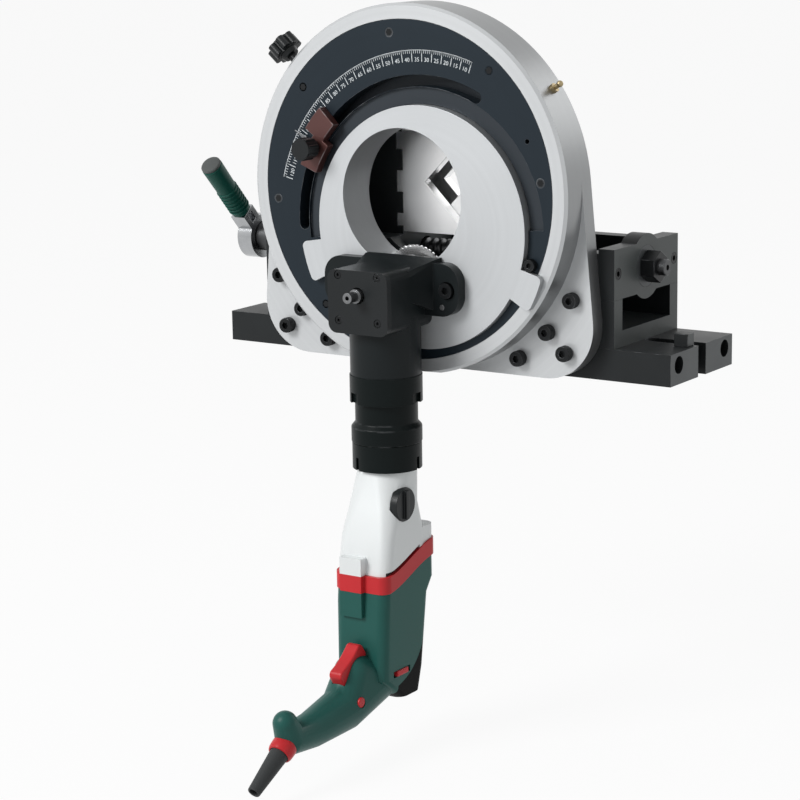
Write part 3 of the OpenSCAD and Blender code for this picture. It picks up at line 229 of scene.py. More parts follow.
# Base plate
# A bar of blackened steel, milled all over, with a hold-down slot and two rod bores in each end.
# A small stop block is screwed on beside the right slot; the vise is held by screws from below.
weld, flat_angle = 2e-6, math.radians(0.4)
shading_margin, corner_rounds, straight = 16, 6, 0.99


def plain_mesh(piece):
    """What an object's modifiers or its text make, as a plain mesh."""
    return bpy.data.meshes.new_from_object(
        piece.evaluated_get(bpy.context.evaluated_depsgraph_get()))


def mesh_of(form, name, sharp=None):
    """The mesh of a form, shaded smooth up to an angle in degrees where one is given."""
    for face in form.faces if sharp else ():
        face.smooth = True
    mesh = bpy.data.meshes.new(name)
    form.to_mesh(mesh)
    form.free()
    if sharp:
        mesh.set_sharp_from_angle(angle=math.radians(sharp))
    return mesh


def stand(name, mesh, node, material, weigh=False):
    """Puts a finished mesh where a CAD node is, riding on the node's own body."""
    mesh.materials.append(material)
    piece = set_out(name, mesh)
    if weigh:
        piece.modifiers.new("flat_faces", "WEIGHTED_NORMAL").keep_sharp = True
        weighed = plain_mesh(piece)
        piece.modifiers.clear()
        piece.data = weighed
    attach(piece, nodes[node]["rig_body"])
    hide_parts(node)
    return piece


def sharp_edges(form, crease):
    """The edges between two faces that meet at more than an angle in degrees."""
    return [e for e in form.edges if len(e.link_faces) == 2
            and e.calc_face_angle(0) > math.radians(crease)]


def break_edges(form, edges, width, rounds):
    """Rounds edges off and gives the new faces."""
    return bmesh.ops.bevel(form, geom=edges, offset=width, offset_type="OFFSET", segments=rounds,
                           profile=0.5, affect="EDGES", clamp_overlap=True)["faces"]


def soften(node, material, edge, crease=30, rounds=2, reshape=None, corners=None):
    """Stands a copy of a CAD solid in its place, its sharp edges broken and marked as edge.

    reshape moves its points first, and corners rounds the corners that lie outside a circle.
    """
    form = bmesh.new()
    form.from_mesh(nodes[node].data)
    mark = form.faces.layers.float.new("edge")
    bmesh.ops.remove_doubles(form, verts=form.verts, dist=weld)
    bmesh.ops.dissolve_limit(form, angle_limit=flat_angle, verts=form.verts, edges=form.edges)
    for vert in form.verts if reshape else ():
        vert.co = reshape(vert.co)
    if corners:
        middle, reach, radius = corners
        outer = [e for e in sharp_edges(form, crease) if e.calc_face_angle_signed(0) > 0
                 and abs((e.verts[0].co - e.verts[1].co).normalized().y) > straight
                 and all(math.dist((v.co.x, v.co.z), middle) > reach for v in e.verts)]
        break_edges(form, outer, radius, corner_rounds)
    for face in break_edges(form, sharp_edges(form, crease), edge, rounds):
        face[mark] = 1.0
    name = node + "_dressed"
    return stand(name, mesh_of(form, name, crease + shading_margin), node, material, weigh=True)


def tinted(colour, share, lift=0.0):
    """A colour made darker or lighter."""
    return tuple(min(1, c * share + lift) for c in colour)


def worn(finish, place, low, high):
    """How far a broken edge has lost its coat, in patches."""
    edge = finish.node("ShaderNodeAttribute", {"attribute_name": "edge"}, out="Fac")
    return edge * finish.ramp(finish.noise(place, scale=90, detail=4), low, high)


def facing(finish, way):
    """How squarely a face looks one way or the opposite way."""
    normal = finish.node("ShaderNodeNewGeometry", out="Normal")
    share = finish.node("ShaderNodeSeparateXYZ", {}, {0: normal}, out=way)
    return share * share


def painted_end_light(finish):
    """Painted light: faces that look along the base, the end faces of a bar, are painted lighter.
    """
    return finish.ramp(facing(finish, "X"), low=0.75, high=0.95)


# The first grey is painted light for the end faces; the second is bare steel where edges are worn.
lit_end_steel, bare_steel = (0.115, 0.124, 0.127), (0.26, 0.27, 0.28)


def blackened(name, colour, rough, wear, lit_ends=0.0):
    """Black oxide on milled steel: a dark satin skin, cloudy, rubbed bright on the edges."""
    finish = Finish(bpy.data.materials.new(name))
    place = finish.place()
    cloud = finish.noise(place, scale=22, detail=5)
    milled = finish.noise(finish.stretch(place, (40, 1500, 1500)), scale=1, detail=2)
    bare = worn(finish, place, low=0.42, high=0.7) * wear
    tone = finish.mix(cloud, tinted(colour, 0.72), tinted(colour, 1.35))
    # Painted light: faces that look along the base are lightened towards a grey.
    if lit_ends:
        tone = finish.mix(painted_end_light(finish) * lit_ends, tone, lit_end_steel)
    tone = finish.mix(bare, tone, bare_steel)
    return finish.surface(tone, rough - 0.1 + 0.22 * cloud - 0.12 * bare, milled + 0.6 * cloud,
                          bump=0.10, depth=0.0003, metallic=0.2, gloss=0.24)


black_oxide = blackened("black_oxide", (0.014, 0.016, 0.017), rough=0.42, wear=0.5, lit_ends=0.8)
soften("base_plate", black_oxide, edge=0.0009)
soften("base_stop", black_oxide, edge=0.0006)
screw_black = blackened("screw_black", (0.009, 0.010, 0.011), rough=0.34, wear=0.6)
soften("base_screws", screw_black, edge=0.0004)

# Vise body and its keepers
# A cast channel, machined inside and enamelled black, with an end keeper screwed on at each end.
# Each keeper holds a plain bush in which the vise screw turns.
# The first grey is painted light for the end faces of the castings; the others are their rubbed
# edges.
lit_end_casting, rubbed_grey, rubbed_share = (0.118, 0.130, 0.128), (0.12, 0.125, 0.13), 0.45


def enamel(name, colour, rough, lit_ends=0.0, gloss=0.22):
    """Sprayed black enamel over a casting: faint orange peel and matt rubbed edges."""
    finish = Finish(bpy.data.materials.new(name))
    place = finish.place()
    peel = finish.noise(place, scale=620, detail=2)
    cloud = finish.noise(place, scale=14, detail=4)
    tone = finish.mix(cloud, tinted(colour, 0.8), tinted(colour, 1.25))
    # Painted light: faces that look along the base are lightened towards a grey.
    if lit_ends:
        tone = finish.mix(painted_end_light(finish) * lit_ends, tone, lit_end_casting)
    tone = finish.mix(worn(finish, place, low=0.45, high=0.75) * rubbed_share, tone,
                      rubbed_grey)
    return finish.surface(tone, rough - 0.08 + 0.18 * cloud, peel, bump=0.16, depth=0.0003,
                          gloss=gloss)


black_enamel = enamel("black_enamel", (0.012, 0.014, 0.015), rough=0.40, lit_ends=0.8)
for node in ("vise_body", "keeper_left", "keeper_right"):
    soften(node, black_enamel, edge=0.0011)
soften("keeper_screws", screw_black, edge=0.0003)


def machined(name, colour, rough, lines=(1400, 1400, 40)):
    """Bare metal from the milling machine or the lathe, with its fine tool lines."""
    finish = Finish(bpy.data.materials.new(name))
    place = finish.place()
    tool = finish.noise(finish.stretch(place, lines), scale=1, detail=3)
    cloud = finish.noise(place, scale=30, detail=4)
    tone = finish.mix(cloud, tinted(colour, 0.86), tinted(colour, 1.08))
    return finish.surface(tone, rough - 0.07 + 0.1 * tool + 0.08 * cloud, tool, bump=0.09,
                          metallic=1.0)


bright_steel = machined("bright_steel", (0.56, 0.57, 0.58), rough=0.27)
soften("screw_bushes", black_oxide, edge=0.0003)
soften("lever_clip", bright_steel, edge=0.0004)
soften("drive_hex", screw_black, edge=0.0008)

# Vise screw
# One bar of steel along the vise, its dark tone painted shade, with a trapezoidal thread of 8 mm
# lead on each half, right hand on one and left hand on the other. Its left end has a collar and
# the seat of the lever.
screw_middle, bar_radius = Vector((0, 0, 0.090)), 0.0100
thread_lead, thread_depth, thread_fade = 0.008, 0.0028, 0.005
thread_crest, thread_flank = 0.19, 0.12
thread_start, thread_end = 0.010, 0.158
screw_around, screw_step, screw_rows = 28, 0.00057, 315
lever_end = ((-0.2452, 0), (-0.2452, 0.0084), (-0.2446, 0.0090), (-0.2247, 0.0090),
             (-0.2247, 0.0134), (-0.2241, 0.0140), (-0.1809, 0.0140), (-0.1803, 0.0134),
             (-0.1803, 0.0100))
hex_end = ((0.1797, 0.0100), (0.1800, 0.0097), (0.1800, 0.0070), (0.1994, 0.0070),
           (0.2000, 0.0064), (0.2000, 0.0025), (0.1950, 0.0025), (0.1950, 0))


def thread_radius(x, turn):
    """Radius of the threaded bar at a place along it and a part of a turn round it."""
    inside = min(abs(x) - thread_start, thread_end - abs(x))
    depth = thread_depth * min(1, max(0, inside / thread_fade))
    phase = (abs(x) / thread_lead + turn) % 1
    return bar_radius - depth * min(1, max(0, (abs(phase - 0.5) - thread_crest) / thread_flank))


lathe_crease = 32


def lathe(name, turns, around, foot, run, across):
    """A closed form turned about a line from foot along run.

    A turn is a distance along the line and a radius, or a list with a radius for each point.
    """
    side = run.cross(across)
    form = bmesh.new()
    rows = []
    for along, radius in turns:
        middle = foot + run * along
        radii = radius if isinstance(radius, list) else [radius] * around
        if max(radii) == 0:
            rows.append([form.verts.new(middle)] * around)
            continue
        angles = [2 * math.pi * i / around for i in range(around)]
        rows.append([form.verts.new(middle + across * (r * math.cos(a)) + side * (r * math.sin(a)))
                     for r, a in zip(radii, angles)])
    for low, high in zip(rows, rows[1:]):
        for i in range(around):
            outline = dict.fromkeys((low[i - 1], low[i], high[i], high[i - 1]))
            if len(outline) > 2:
                form.faces.new(outline)
    bmesh.ops.remove_doubles(form, verts=form.verts, dist=weld)
    bmesh.ops.recalc_face_normals(form, faces=form.faces)
    return mesh_of(form, name, lathe_crease)


threaded = [(x, [thread_radius(x, i / screw_around) for i in range(screw_around)])
            for x in (row * screw_step for row in range(-screw_rows, screw_rows + 1))]
screw = lathe("vise_screw_dressed", [*lever_end, *threaded, *hex_end], screw_around, screw_middle,
              run=Vector((1, 0, 0)), across=Vector((0, 1, 0)))
# A very dark steel for the screw: painted shade for the inside of the channel.
shaded_screw_steel = machined("shaded_screw_steel", (0.085, 0.087, 0.090), rough=0.42)
stand("vise_screw_dressed", screw, "vise_screw", shaded_screw_steel)

# Clamp lever
# A chromed ratchet lever that sits on the left end of the vise screw, kept there by a ring.
# Its green plastic grip is moulded on, with ribs round it and a grey cap in its end.
dark_chrome, light_chrome = (0.30, 0.31, 0.32), (0.50, 0.51, 0.52)
chrome = Finish(bpy.data.materials.new("lever_chrome"))
chrome_place = chrome.place()
smear = chrome.noise(chrome_place, scale=60, detail=4)
soften("clamp_lever", chrome.surface(
    chrome.mix(smear, dark_chrome, light_chrome), 0.10 + 0.16 * smear,
    chrome.noise(chrome_place, scale=300, detail=2), bump=0.03, metallic=1.0), edge=0.0012)

scuff_share = 0.25


def moulded(name, colour, rough, gloss=0.24, grain=1900):
    """Moulded plastic with the fine spark-eroded grain of its tool, scuffed on the edges."""
    finish = Finish(bpy.data.materials.new(name))
    place = finish.place()
    skin = finish.noise(place, scale=grain, detail=2)
    cloud = finish.noise(place, scale=16, detail=4)
    scuff = worn(finish, place, low=0.5, high=0.8) * scuff_share
    tone = finish.mix(cloud, tinted(colour, 0.88), tinted(colour, 1.1))
    tone = finish.mix(scuff, tone, tinted(colour, 1.6, lift=0.03))
    return finish.surface(tone, rough - 0.06 + 0.12 * cloud, skin, bump=0.14, depth=0.00025,
                          gloss=gloss)


grip_green = moulded("grip_green", (0.006, 0.075, 0.056), rough=0.44, gloss=0.2)
soften("lever_grip", grip_green, edge=0.0015)


class Pattern(Nodes):
    """A tree of geometry nodes with named sizes; grow() turns what it makes into a plain mesh."""

    kinds = {type(None): "NodeSocketGeometry", int: "NodeSocketInt", float: "NodeSocketFloat"}

    def __init__(self, name, **sizes):
        super().__init__(bpy.data.node_groups.new(name, "GeometryNodeTree"))
        self.sizes, self.keys = sizes, {}
        for label, value in {"Places": None, **sizes}.items():
            self.keys[label] = self.tree.interface.new_socket(
                label, in_out="INPUT", socket_type=self.kinds[type(value)]).identifier
        self.tree.interface.new_socket("Form", in_out="OUTPUT", socket_type=self.kinds[type(None)])
        self.given = {label: self.node("NodeGroupInput", out=label) for label in self.keys}

    def vector(self, x, y, z):
        return self.node("ShaderNodeCombineXYZ", {}, {0: x, 1: y, 2: z})

    def turn(self, x, y, z):
        return self.node("FunctionNodeEulerToRotation", {}, {0: self.vector(x, y, z)})

    def repeat(self, points, form, rotation=None):
        sockets = {"Points": points, "Instance": form}
        if rotation:
            sockets["Rotation"] = rotation
        return self.node("GeometryNodeInstanceOnPoints", {}, sockets)

    def close(self, form, material):
        real = self.node("GeometryNodeRealizeInstances", {}, {0: form})
        dressed = self.node("GeometryNodeSetMaterial", {}, {"Geometry": real, "Material": material})
        self.node("NodeGroupOutput", {}, {0: dressed})

    def grow(self, name, body, slot, places=(), **sizes):
        seed = bpy.data.meshes.new(name)
        seed.from_pydata(places, [], [])
        piece = set_out(name, seed)
        grown = piece.modifiers.new(name, "NODES")
        grown.node_group = self.tree
        for label, value in {**self.sizes, **sizes}.items():
            grown[self.keys[label]] = value
        mesh = plain_mesh(piece)
        piece.modifiers.clear()
        piece.data = mesh
        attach(piece, body)


crosswise = Vector((1, 0, 0))
lever_foot, lever_tilt = Vector((-0.233, 0, 0.090)), math.radians(47)
lever_run = Vector((0, -math.cos(lever_tilt), math.sin(lever_tilt)))
rib_start, rib_pitch, rib_count = 0.041, 0.0042, 7
ribs = Pattern("grip_ribs", Radius=0.0096, Thickness=0.0008)
hoop, wire = (ribs.node("GeometryNodeCurvePrimitiveCircle", {},
                        {"Resolution": points, "Radius": ribs.given[size]})
              for points, size in ((40, "Radius"), (8, "Thickness")))
rib = ribs.node("GeometryNodeCurveToMesh", {}, {"Curve": hoop, "Profile Curve": wire})
rib_turn = ribs.turn(math.pi / 2 - lever_tilt, 0.0, 0.0)
ribs.close(ribs.repeat(ribs.given["Places"], rib, rib_turn), grip_green)
ribs.grow("lever_grip_ribs", "lever", "grip_rubber",
          [lever_foot + lever_run * (rib_start + rib_pitch * i) for i in range(rib_count)])


def add(name, mesh, material, body):
    """Adds a piece that stands for no CAD node, riding on a body."""
    mesh.materials.append(material)
    piece = set_out(name, mesh)
    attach(piece, body)


round_points = 40
cap_turns = ((0.0970, 0), (0.0970, 0.0086), (0.0983, 0.0096), (0.0997, 0.0096), (0.1006, 0.0088),
             (0.1010, 0.0072), (0.1010, 0))
add("lever_grip_cap", lathe("lever_grip_cap", cap_turns, round_points, lever_foot, lever_run,
                            crosswise),
    moulded("grip_cap_grey", (0.085, 0.092, 0.090), rough=0.5), "lever")

# Jaws
# Two slides run in the channel; each carries two stainless vee plates that mesh with the other
# side's plates. A bronze nut in each slide rides on the screw.
for node in ("jaw_slide_left", "jaw_slide_right"):
    soften(node, black_oxide, edge=0.0008)
stainless = machined("brushed_stainless", (0.95, 0.955, 0.96), rough=0.30, lines=(1500, 60, 40))
for node in ("jaw_plates_left", "jaw_plates_right"):
    soften(node, stainless, edge=0.0004)
bronze = machined("nut_bronze", (0.52, 0.37, 0.18), rough=0.32)
for node in ("slide_nut_left", "slide_nut_right"):
    soften(node, bronze, edge=0.0004)

# Housing
# A cast and turned aluminium drum on a foot flange, silver all over. Eight socket screws go through
# the foot; a nipple on the drum greases the bronze bush of the rotor.
# Painted shade for turned flanks: the share of the colour they keep, and how metallic they turn.
flank_shade_tone, flank_metallic, turned_bare = 0.34, 0.9, (0.5, 0.51, 0.52)


def turned(name, colour, rough, centre, metallic=1.0, wear=0.0, side_shade=0.0, gloss=0.5, recess=None):
    """Metal turned about an axis from front to back: fine rings on its faces and rims.

    Painted shade darkens the flanks, faces that look neither front nor back, and makes them more
    metallic; recess gives the depths and a lighter tone of a sunken face, a painted reflection.
    """
    finish = Finish(bpy.data.materials.new(name))
    place = finish.place()
    flat = finish.node("ShaderNodeVectorMath", {"operation": "MULTIPLY_ADD"},
                       {0: place, 1: (1, 0, 1), 2: (-centre[0], 0, -centre[1])})
    radius = finish.node("ShaderNodeVectorMath", {"operation": "LENGTH"}, {0: flat}, out="Value")
    depth = finish.node("ShaderNodeSeparateXYZ", {}, {0: place}, out="Y")
    rings, broad = (finish.node("ShaderNodeTexNoise", {"noise_dimensions": "1D"}, {
        "W": radius + depth, "Scale": scale, "Detail": detail})
        for scale, detail in ((1700, 3), (160, 2)))
    cloud = finish.noise(place, scale=11, detail=4)
    tone = finish.mix(0.5 * cloud + 0.5 * broad, tinted(colour, 0.88), tinted(colour, 1.1))
    flank = 1 - finish.ramp(facing(finish, "Y"), low=0.1, high=0.6)
    # Painted shade: faces that look neither front nor back are darkened.
    if side_shade:
        tone = finish.mix(flank * side_shade, tone, tinted(colour, flank_shade_tone))
        metallic = metallic + (flank_metallic - metallic) * side_shade * flank
    # Painted reflection: a sunken face that looks front or back gets a lighter tone.
    if recess:
        low, high, bottom = recess
        tone = finish.mix(finish.ramp(depth, low, high) * (1 - flank), tone, bottom)
    if wear:
        tone = finish.mix(worn(finish, place, low=0.4, high=0.7) * wear, tone, turned_bare)
    return finish.surface(tone, rough - 0.06 + 0.09 * rings + 0.07 * cloud, rings + 0.3 * broad,
                          bump=0.07, metallic=metallic, gloss=gloss)


drum_axis = (0.0, 0.154986)
# The drum gets painted shade on its flanks.
silver_drum = turned("silver_drum", (0.60, 0.615, 0.625), rough=0.34, centre=drum_axis,
                     metallic=0.3, side_shade=0.8)
soften("rotor_bush", bronze, edge=0.0004)
soften("housing", silver_drum, edge=0.0010)
soften("housing_screws", screw_black, edge=0.0005)


def head_places(node):
    """Middle of the front face of each screw of a node."""
    form = bmesh.new()
    form.from_mesh(nodes[node].data)
    bmesh.ops.remove_doubles(form, verts=form.verts, dist=weld)
    loose, places = set(form.verts), []
    while loose:
        screw, reached = set(), [loose.pop()]
        while reached:
            vert = reached.pop()
            screw.add(vert)
            beside = [e.other_vert(vert) for e in vert.link_edges if e.other_vert(vert) in loose]
            loose.difference_update(beside)
            reached.extend(beside)
        low, high = ([pick(v.co[i] for v in screw) for i in range(3)] for pick in (min, max))
        places.append(((low[0] + high[0]) / 2, low[1], (low[2] + high[2]) / 2))
    form.free()
    return sorted(places)


knurl = Pattern("screw_knurl", Ridges=40, Radius=0.0065, Height=0.0062, Start=0.0009, Width=0.00042)
around = knurl.node("GeometryNodeMeshCircle", {}, {
    "Vertices": knurl.given["Ridges"], "Radius": knurl.given["Radius"]})
step = knurl.node("GeometryNodeInputIndex") * (2 * math.pi / knurl.given["Ridges"])
ridge = knurl.node("GeometryNodeMeshCube", {}, {"Size": knurl.vector(
    knurl.given["Width"], knurl.given["Width"], knurl.given["Height"])})
ridge = knurl.node("GeometryNodeTransform", {}, {
    "Geometry": ridge, "Rotation": (0, 0, math.pi / 4)})
lift = knurl.vector(0.0, knurl.given["Start"] + 0.5 * knurl.given["Height"], 0.0)
ring = knurl.node("GeometryNodeTransform", {}, {
    "Geometry": knurl.repeat(around, ridge, knurl.turn(0.0, 0.0, step)),
    "Translation": lift, "Rotation": (math.pi / 2, 0, 0)})
knurl.close(knurl.repeat(knurl.given["Places"], ring), screw_black)
knurl.grow("housing_screw_knurls", "base", "black_steel", head_places("housing_screws"))
soften("grease_nipple", machined("nipple_brass", (0.36, 0.29, 0.17), rough=0.40), edge=0.0003)

# Rotor lock
# A black moulded star knob on a steel screw.
# The screw goes through the drum and presses on the rim of the rotor.
knob_black = moulded("knob_black", (0.010, 0.012, 0.013), rough=0.34)
soften("lock_knob", knob_black, edge=0.0009)
soften("lock_stem", screw_black, edge=0.0004)

# Rotor
# The front plate is dark anodised aluminium with a printed size scale; the body behind it runs in
# the bush. Countersunk screws join them, and a socket screw stops the disc on its way back.
# The lighter tone of the crescent recess floor is a painted reflection.
recess_low, recess_high, recess_reflection_tone = -0.0985, -0.0965, (0.036, 0.043, 0.051)
anodised = turned("dark_anodised", (0.015, 0.023, 0.031), rough=0.36, centre=drum_axis,
                  metallic=0.2, wear=0.3, gloss=0.2,
                  recess=(recess_low, recess_high, recess_reflection_tone))
soften("rotor_plate", anodised, edge=0.0002)
soften("rotor_body", anodised, edge=0.0006)
plate_screw_grey = blackened("plate_screw_grey", (0.045, 0.050, 0.055), rough=0.36, wear=0.6)
soften("plate_screws_set", plate_screw_grey, edge=0.0003)
sockets = Pattern("plate_sockets", Radius=0.0030, Depth=0.0002)
hexagon = sockets.node("GeometryNodeMeshCylinder", {}, {
    "Vertices": 6, "Radius": sockets.given["Radius"], "Depth": sockets.given["Depth"]})
hexagons = sockets.repeat(sockets.given["Places"], hexagon, sockets.turn(math.pi / 2, 0.0, 0.0))
sockets.close(hexagons, screw_black)
sockets.grow("plate_screw_sockets", "rotor", "black_steel", head_places("plate_screws_set"))
soften("retract_stop", screw_black, edge=0.0004)
knurl.grow("retract_stop_knurl", "rotor", "black_steel", head_places("retract_stop"),
           Radius=0.0050, Height=0.0042, Ridges=32)

# Size scale
# A ladder of white printed lines round the arc slot, closer at the small sizes, with plain sizes in
# millimetres below it. It is printed on the rotor plate.
disc_centre = (0.018, 0.124986)
plate_front, ink_depth = -0.099, 0.00012
scale_steps, scale_start, scale_step, scale_growth = 23, 70.2, 3.78, 0.0165
print_white = moulded("print_white", (0.72, 0.76, 0.78), rough=0.55)
ladder = Pattern("scale_ladder", Count=2, Share=1.0, Radius=0.1448, Length=0.010, Width=0.0004)
index = ladder.node("GeometryNodeInputIndex") * ladder.given["Share"]
bearing = math.pi / 180 * (scale_start + scale_step * index + scale_growth * index * index)
across, up = (ladder.given["Radius"] * bearing.work(way, bearing) for way in ("COSINE", "SINE"))
rungs = ladder.node("GeometryNodePoints", {}, {
    "Count": ladder.given["Count"],
    "Position": ladder.vector(across + disc_centre[0], plate_front, up + disc_centre[1])})
rung = ladder.node("GeometryNodeMeshCube", {}, {"Size": ladder.vector(
    ladder.given["Length"], 2 * ink_depth, ladder.given["Width"])})
ladder.close(ladder.repeat(rungs, rung, ladder.turn(0.0, -1 * bearing, 0.0)), print_white)
for name, share, radius, length, width in (("long_rungs", 1.0, 0.14480, 0.01000, 0.00062),
                                           ("short_rungs", 0.2, 0.14820, 0.00300, 0.00040),
                                           ("outer_line", 0.1, 0.14955, 0.00060, 0.00125)):
    ladder.grow("scale_" + name, "rotor", "dark_alloy", Count=round(scale_steps / share) + 1,
                Share=share, Radius=radius, Length=length, Width=width)

first_size, size_step = 10, 5
digit_size, digit_radius, digit_curve = 0.0050, 0.1414, 3
digits = bmesh.new()
for i in range(scale_steps):
    a = math.radians(scale_start + scale_step * (i + 0.5) + scale_growth * (i + 0.5) ** 2)
    word = bpy.data.curves.new("scale_number", "FONT")
    word.body, word.size = str(first_size + size_step * i), digit_size
    word.resolution_u, word.extrude = digit_curve, ink_depth
    word.align_x, word.align_y = "CENTER", "CENTER"
    lettering = set_out("scale_number", word)
    number = plain_mesh(lettering)
    number.transform(Matrix.Translation((disc_centre[0] + digit_radius * math.cos(a), plate_front,
                                         disc_centre[1] + digit_radius * math.sin(a)))
                     @ Matrix.Rotation(math.pi / 2 - a, 4, "Y")
                     @ Matrix.Rotation(math.pi / 2, 4, "X"))
    digits.from_mesh(number)
    bpy.data.objects.remove(lettering)
add("scale_numbers", mesh_of(digits, "scale_numbers"), print_white, "rotor")

# Size stop
# A curved block of red-brown anodised aluminium that slides along the arc slot and is clamped by
# a black knob on a tee stud. A small steel pointer on it reads the scale.
red_brown = turned("red_brown_anodised", (0.090, 0.034, 0.030), rough=0.38, centre=drum_axis,
                   metallic=0.4, wear=0.3)
soften("size_stop", red_brown, edge=0.0007)
soften("stop_knob", knob_black, edge=0.0010)
soften("stop_stud", bright_steel, edge=0.0004)
index_front, index_rear, index_edge = -0.1032, -0.1018, 0.0002
index_root, index_root_half, index_tip, index_tip_half = 0.1275, 0.0030, 0.1510, 0.0003
index_bearing, index_flat = math.radians(149), 0.02
index_sine, index_cosine = math.sin(index_bearing), math.cos(index_bearing)
index_form = bmesh.new()
for depth in (index_front, index_rear):
    for radius, offset in ((index_root, -index_root_half), (index_tip, -index_tip_half),
                           (index_tip, index_tip_half), (index_root, index_root_half)):
        index_form.verts.new((disc_centre[0] + radius * index_cosine - offset * index_sine, depth,
                              disc_centre[1] + radius * index_sine + offset * index_cosine))
bmesh.ops.convex_hull(index_form, input=index_form.verts)
bmesh.ops.dissolve_limit(index_form, angle_limit=index_flat, verts=index_form.verts,
                         edges=index_form.edges)
break_edges(index_form, index_form.edges[:], index_edge, rounds=2)
add("stop_index", mesh_of(index_form, "stop_index"),
    machined("index_grey", (0.16, 0.165, 0.17), rough=0.40), "size_stop")

# Eccentric disc
# A turned aluminium disc with a round opening out of its centre and a stop lug on each side.
# A ring screwed on behind keeps it in the rotor.
lug_reach, lug_round = 0.108, 0.0045
# The disc gets painted shade on its flanks.
silver_disc = turned("silver_disc", (0.575, 0.592, 0.605), rough=0.44, centre=disc_centre,
                     metallic=0.3, side_shade=0.5)
soften("eccentric_disc", silver_disc, edge=0.0008, corners=(disc_centre, lug_reach, lug_round))
soften("disc_retainer", black_oxide, edge=0.0004)
soften("retainer_screws", screw_black, edge=0.0003)

# Gearbox
# A black angle gearbox on the disc: housing, front cover with four screws, bearings, the bevel
# pair, and the spindle that carries the saw blade.
gearbox_black = enamel("gearbox_black", (0.010, 0.013, 0.014), rough=0.34, gloss=0.14)
soften("gearbox_housing", gearbox_black, edge=0.0014)
cover_black = enamel("cover_black", (0.012, 0.014, 0.015), rough=0.36)
soften("gearbox_cover", cover_black, edge=0.0010)
spindle_grey = machined("spindle_grey", (0.20, 0.205, 0.21), rough=0.36)
for node in ("spindle_bearings", "spindle", "crown_gear", "drive_shaft", "shaft_bearings"):
    soften(node, spindle_grey, edge=0.0003)
soften("cover_screws", screw_black, edge=0.0003)
soften("ear_screws", screw_black, edge=0.0004)
knurl.grow("ear_screw_knurls", "head", "black_steel", head_places("ear_screws"))
soften("ear_pins", spindle_grey, edge=0.0004)
spindle_axis = (0.0, 0.0754)
blade_steel = turned("blade_steel", (0.58, 0.585, 0.59), rough=0.26, centre=spindle_axis)
soften("saw_blade", blade_steel, edge=0.00015, rounds=1)
soften("blade_nut", screw_black, edge=0.0006)

# Neck
# The adapter sleeve, the turning lock collar and the clamp ring join the drill motor to the
# gearbox; all three are turned and blackened.
neck_black = enamel("neck_black", (0.005, 0.008, 0.008), rough=0.36, gloss=0.10)
for node in ("adapter_sleeve", "lock_collar", "clamp_ring"):
    soften(node, neck_black, edge=0.0008)

# Drill motor
# A die-cast gear case painted silver, a red band, the green plastic motor case with its swept
# grip, and a black rear cap. The red trigger, button and slider and the speed cap are its controls.
dark_flake, light_flake = (0.72, 0.745, 0.745), (0.84, 0.865, 0.865)
# The faces inside the air slit above the red band are coloured near black: painted shade.
painted_slit_shade = (0.004, 0.004, 0.005)
paint = Finish(bpy.data.materials.new("silver_paint"))
paint_place = paint.place()
flake = paint.noise(paint_place, scale=2600, detail=2)
cloud = paint.noise(paint_place, scale=12, detail=4)
lustre = paint.mix(0.5 * flake + 0.5 * cloud, dark_flake, light_flake)
in_slit = paint.node("ShaderNodeAttribute", {"attribute_name": "slit"}, out="Fac")
silver_paint = paint.surface(paint.mix(in_slit, lustre, painted_slit_shade), 0.32 + 0.14 * cloud, flake,
                             bump=0.08, metallic=0.12)
boss_root, boss_left, boss_right, boss_foot = -0.1805, -0.0175, 0.0055, -0.2020
boss_share = 0.4


def boss(place):
    """The ridge down the front of the shells stands only a little proud."""
    if place.y < boss_root and boss_left < place.x < boss_right and place.z > boss_foot:
        return Vector((place.x, boss_root + (place.y - boss_root) * boss_share, place.z))
    return place


motor_axis, motor_front, motor_deep = -0.13225, -0.17825, 0.080
band_z, band_rise = -0.164614, 0.020
slit_foot, slit_height, slit_half, slit_back = 0.00005, 0.0033, 0.0265, motor_axis + 0.0082
slit_slope = 0.8
gear_case = soften("gear_case", silver_paint, edge=0.0024, rounds=3, reshape=boss).data
# Marks the faces inside the air slit, where near black is painted as shade.
slit = gear_case.attributes.new("slit", "FLOAT", "FACE")
for face in gear_case.polygons:
    along = min(1, max(0, (face.center.y - motor_front) / motor_deep))
    over = face.center.z - band_z - band_rise * along * along * (3 - 2 * along)
    slit.data[face.index].value = float(
        slit_foot < over < slit_height and abs(face.center.x) < slit_half
        and abs(face.normal.y) < slit_slope and face.center.y < slit_back)
soften("selector_cap", knob_black, edge=0.0008)
case_green = moulded("case_green", (0.017, 0.098, 0.083), rough=0.40, gloss=0.2)
soften("motor_case", case_green, edge=0.0016, crease=45, reshape=boss)
control_red = moulded("control_red", (0.60, 0.026, 0.032), rough=0.36)
soften("red_band", control_red, edge=0.0012, reshape=boss)
cap_black = moulded("cap_black", (0.003, 0.003, 0.003), rough=0.45, gloss=0.04)
soften("rear_cap", cap_black, edge=0.0012)
for node in ("lock_button", "direction_slider"):
    soften(node, control_red, edge=0.0009)

trigger_place, trigger_tilt = (0, -0.19725, -0.240614), math.radians(34)
trigger_seat = Matrix.Translation(trigger_place) @ Matrix.Rotation(trigger_tilt, 4, "X")
trigger_half, trigger_foot, trigger_top, trigger_cheek = 0.0195, -0.0106, 0.0102, 0.0065
trigger_dip, trigger_round, trigger_edge, trigger_crease = 0.0016, 0.0050, 0.0016, 40
trigger_run = trigger_half - trigger_round


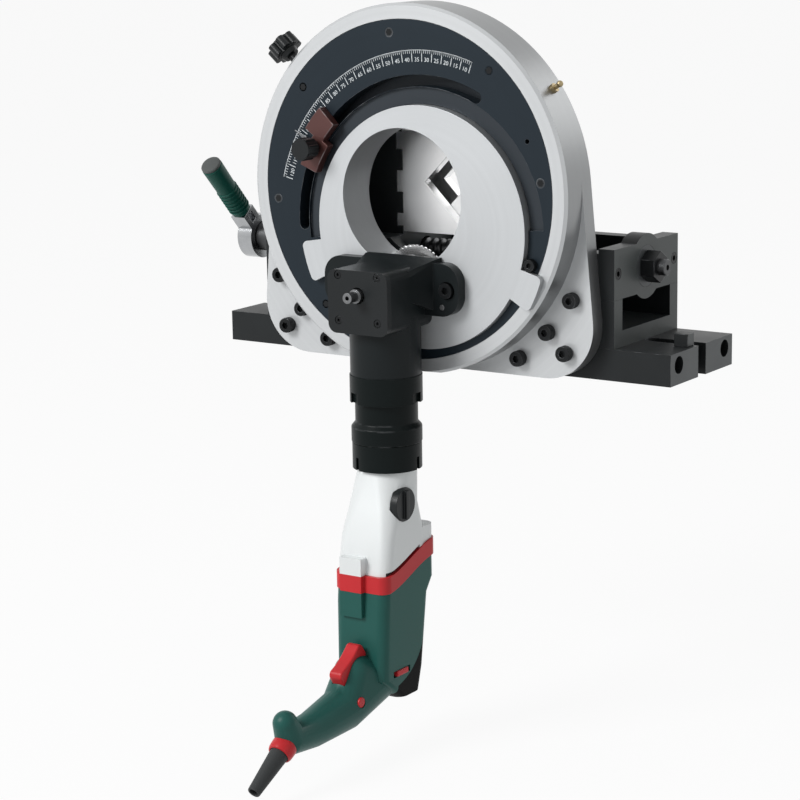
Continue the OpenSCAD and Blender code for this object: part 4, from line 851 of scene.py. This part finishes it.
def trigger_corner(end, start):
    """A rounded upper corner of the trigger seen from the side, a quarter turn in six steps."""
    return [(end * trigger_run + trigger_round * math.cos(a),
             trigger_top - trigger_round + trigger_round * math.sin(a))
            for a in (math.radians(start + 15 * i) for i in range(7))]


finger_rest = [(share * trigger_run, trigger_top - trigger_dip * (1 - share * share))
               for share in (0.75, 0.5, 0.25, 0.0, -0.25, -0.5, -0.75)]
side_view = [*trigger_corner(1, 0), *finger_rest, *trigger_corner(-1, 90),
             (-trigger_half, trigger_foot), (trigger_half, trigger_foot)]
trigger_form = bmesh.new()
left_cheek, right_cheek = ([trigger_form.verts.new(trigger_seat @ Vector((x, along, up)))
                            for along, up in side_view] for x in (-trigger_cheek, trigger_cheek))
for i in range(len(side_view)):
    trigger_form.faces.new((left_cheek[i - 1], left_cheek[i], right_cheek[i], right_cheek[i - 1]))
rims = [edge for cheek in (left_cheek, right_cheek) for edge in trigger_form.faces.new(cheek).edges]
bmesh.ops.recalc_face_normals(trigger_form, faces=trigger_form.faces)
break_edges(trigger_form, rims, trigger_edge, rounds=3)
stand("trigger_dressed", mesh_of(trigger_form, "trigger_dressed", trigger_crease), "trigger",
      control_red, weigh=True)

guard_tilt, guard_reach, guard_z = math.radians(31), 0.156, -0.281614
guard_foot = Vector((0, motor_axis - guard_reach, guard_z))
guard_run = Vector((0, -math.cos(guard_tilt), -math.sin(guard_tilt)))
ring_turns = ((-0.0040, 0.0066), (-0.0040, 0.0095), (0.0006, 0.0097), (0.0018, 0.0107),
              (0.0040, 0.0110), (0.0100, 0.0107), (0.0121, 0.0100), (0.0126, 0.0090),
              (0.0126, 0.0087), (0.0082, 0.0087), (0.0082, 0.0066), (-0.0040, 0.0066))
cord_ring = lathe("cord_ring_dressed", ring_turns, round_points, guard_foot, guard_run, crosswise)
stand("cord_ring_dressed", cord_ring, "cord_ring", control_red)

# Bend guard
# A soft grey rubber sleeve that keeps a mains lead from kinking, moulded in one piece.
# The red ring holds it in the end of the grip.
guard_grey = moulded("guard_grey", (0.040, 0.043, 0.044), rough=0.62, grain=1200)
soften("cord_guard", guard_grey, edge=0.0008)
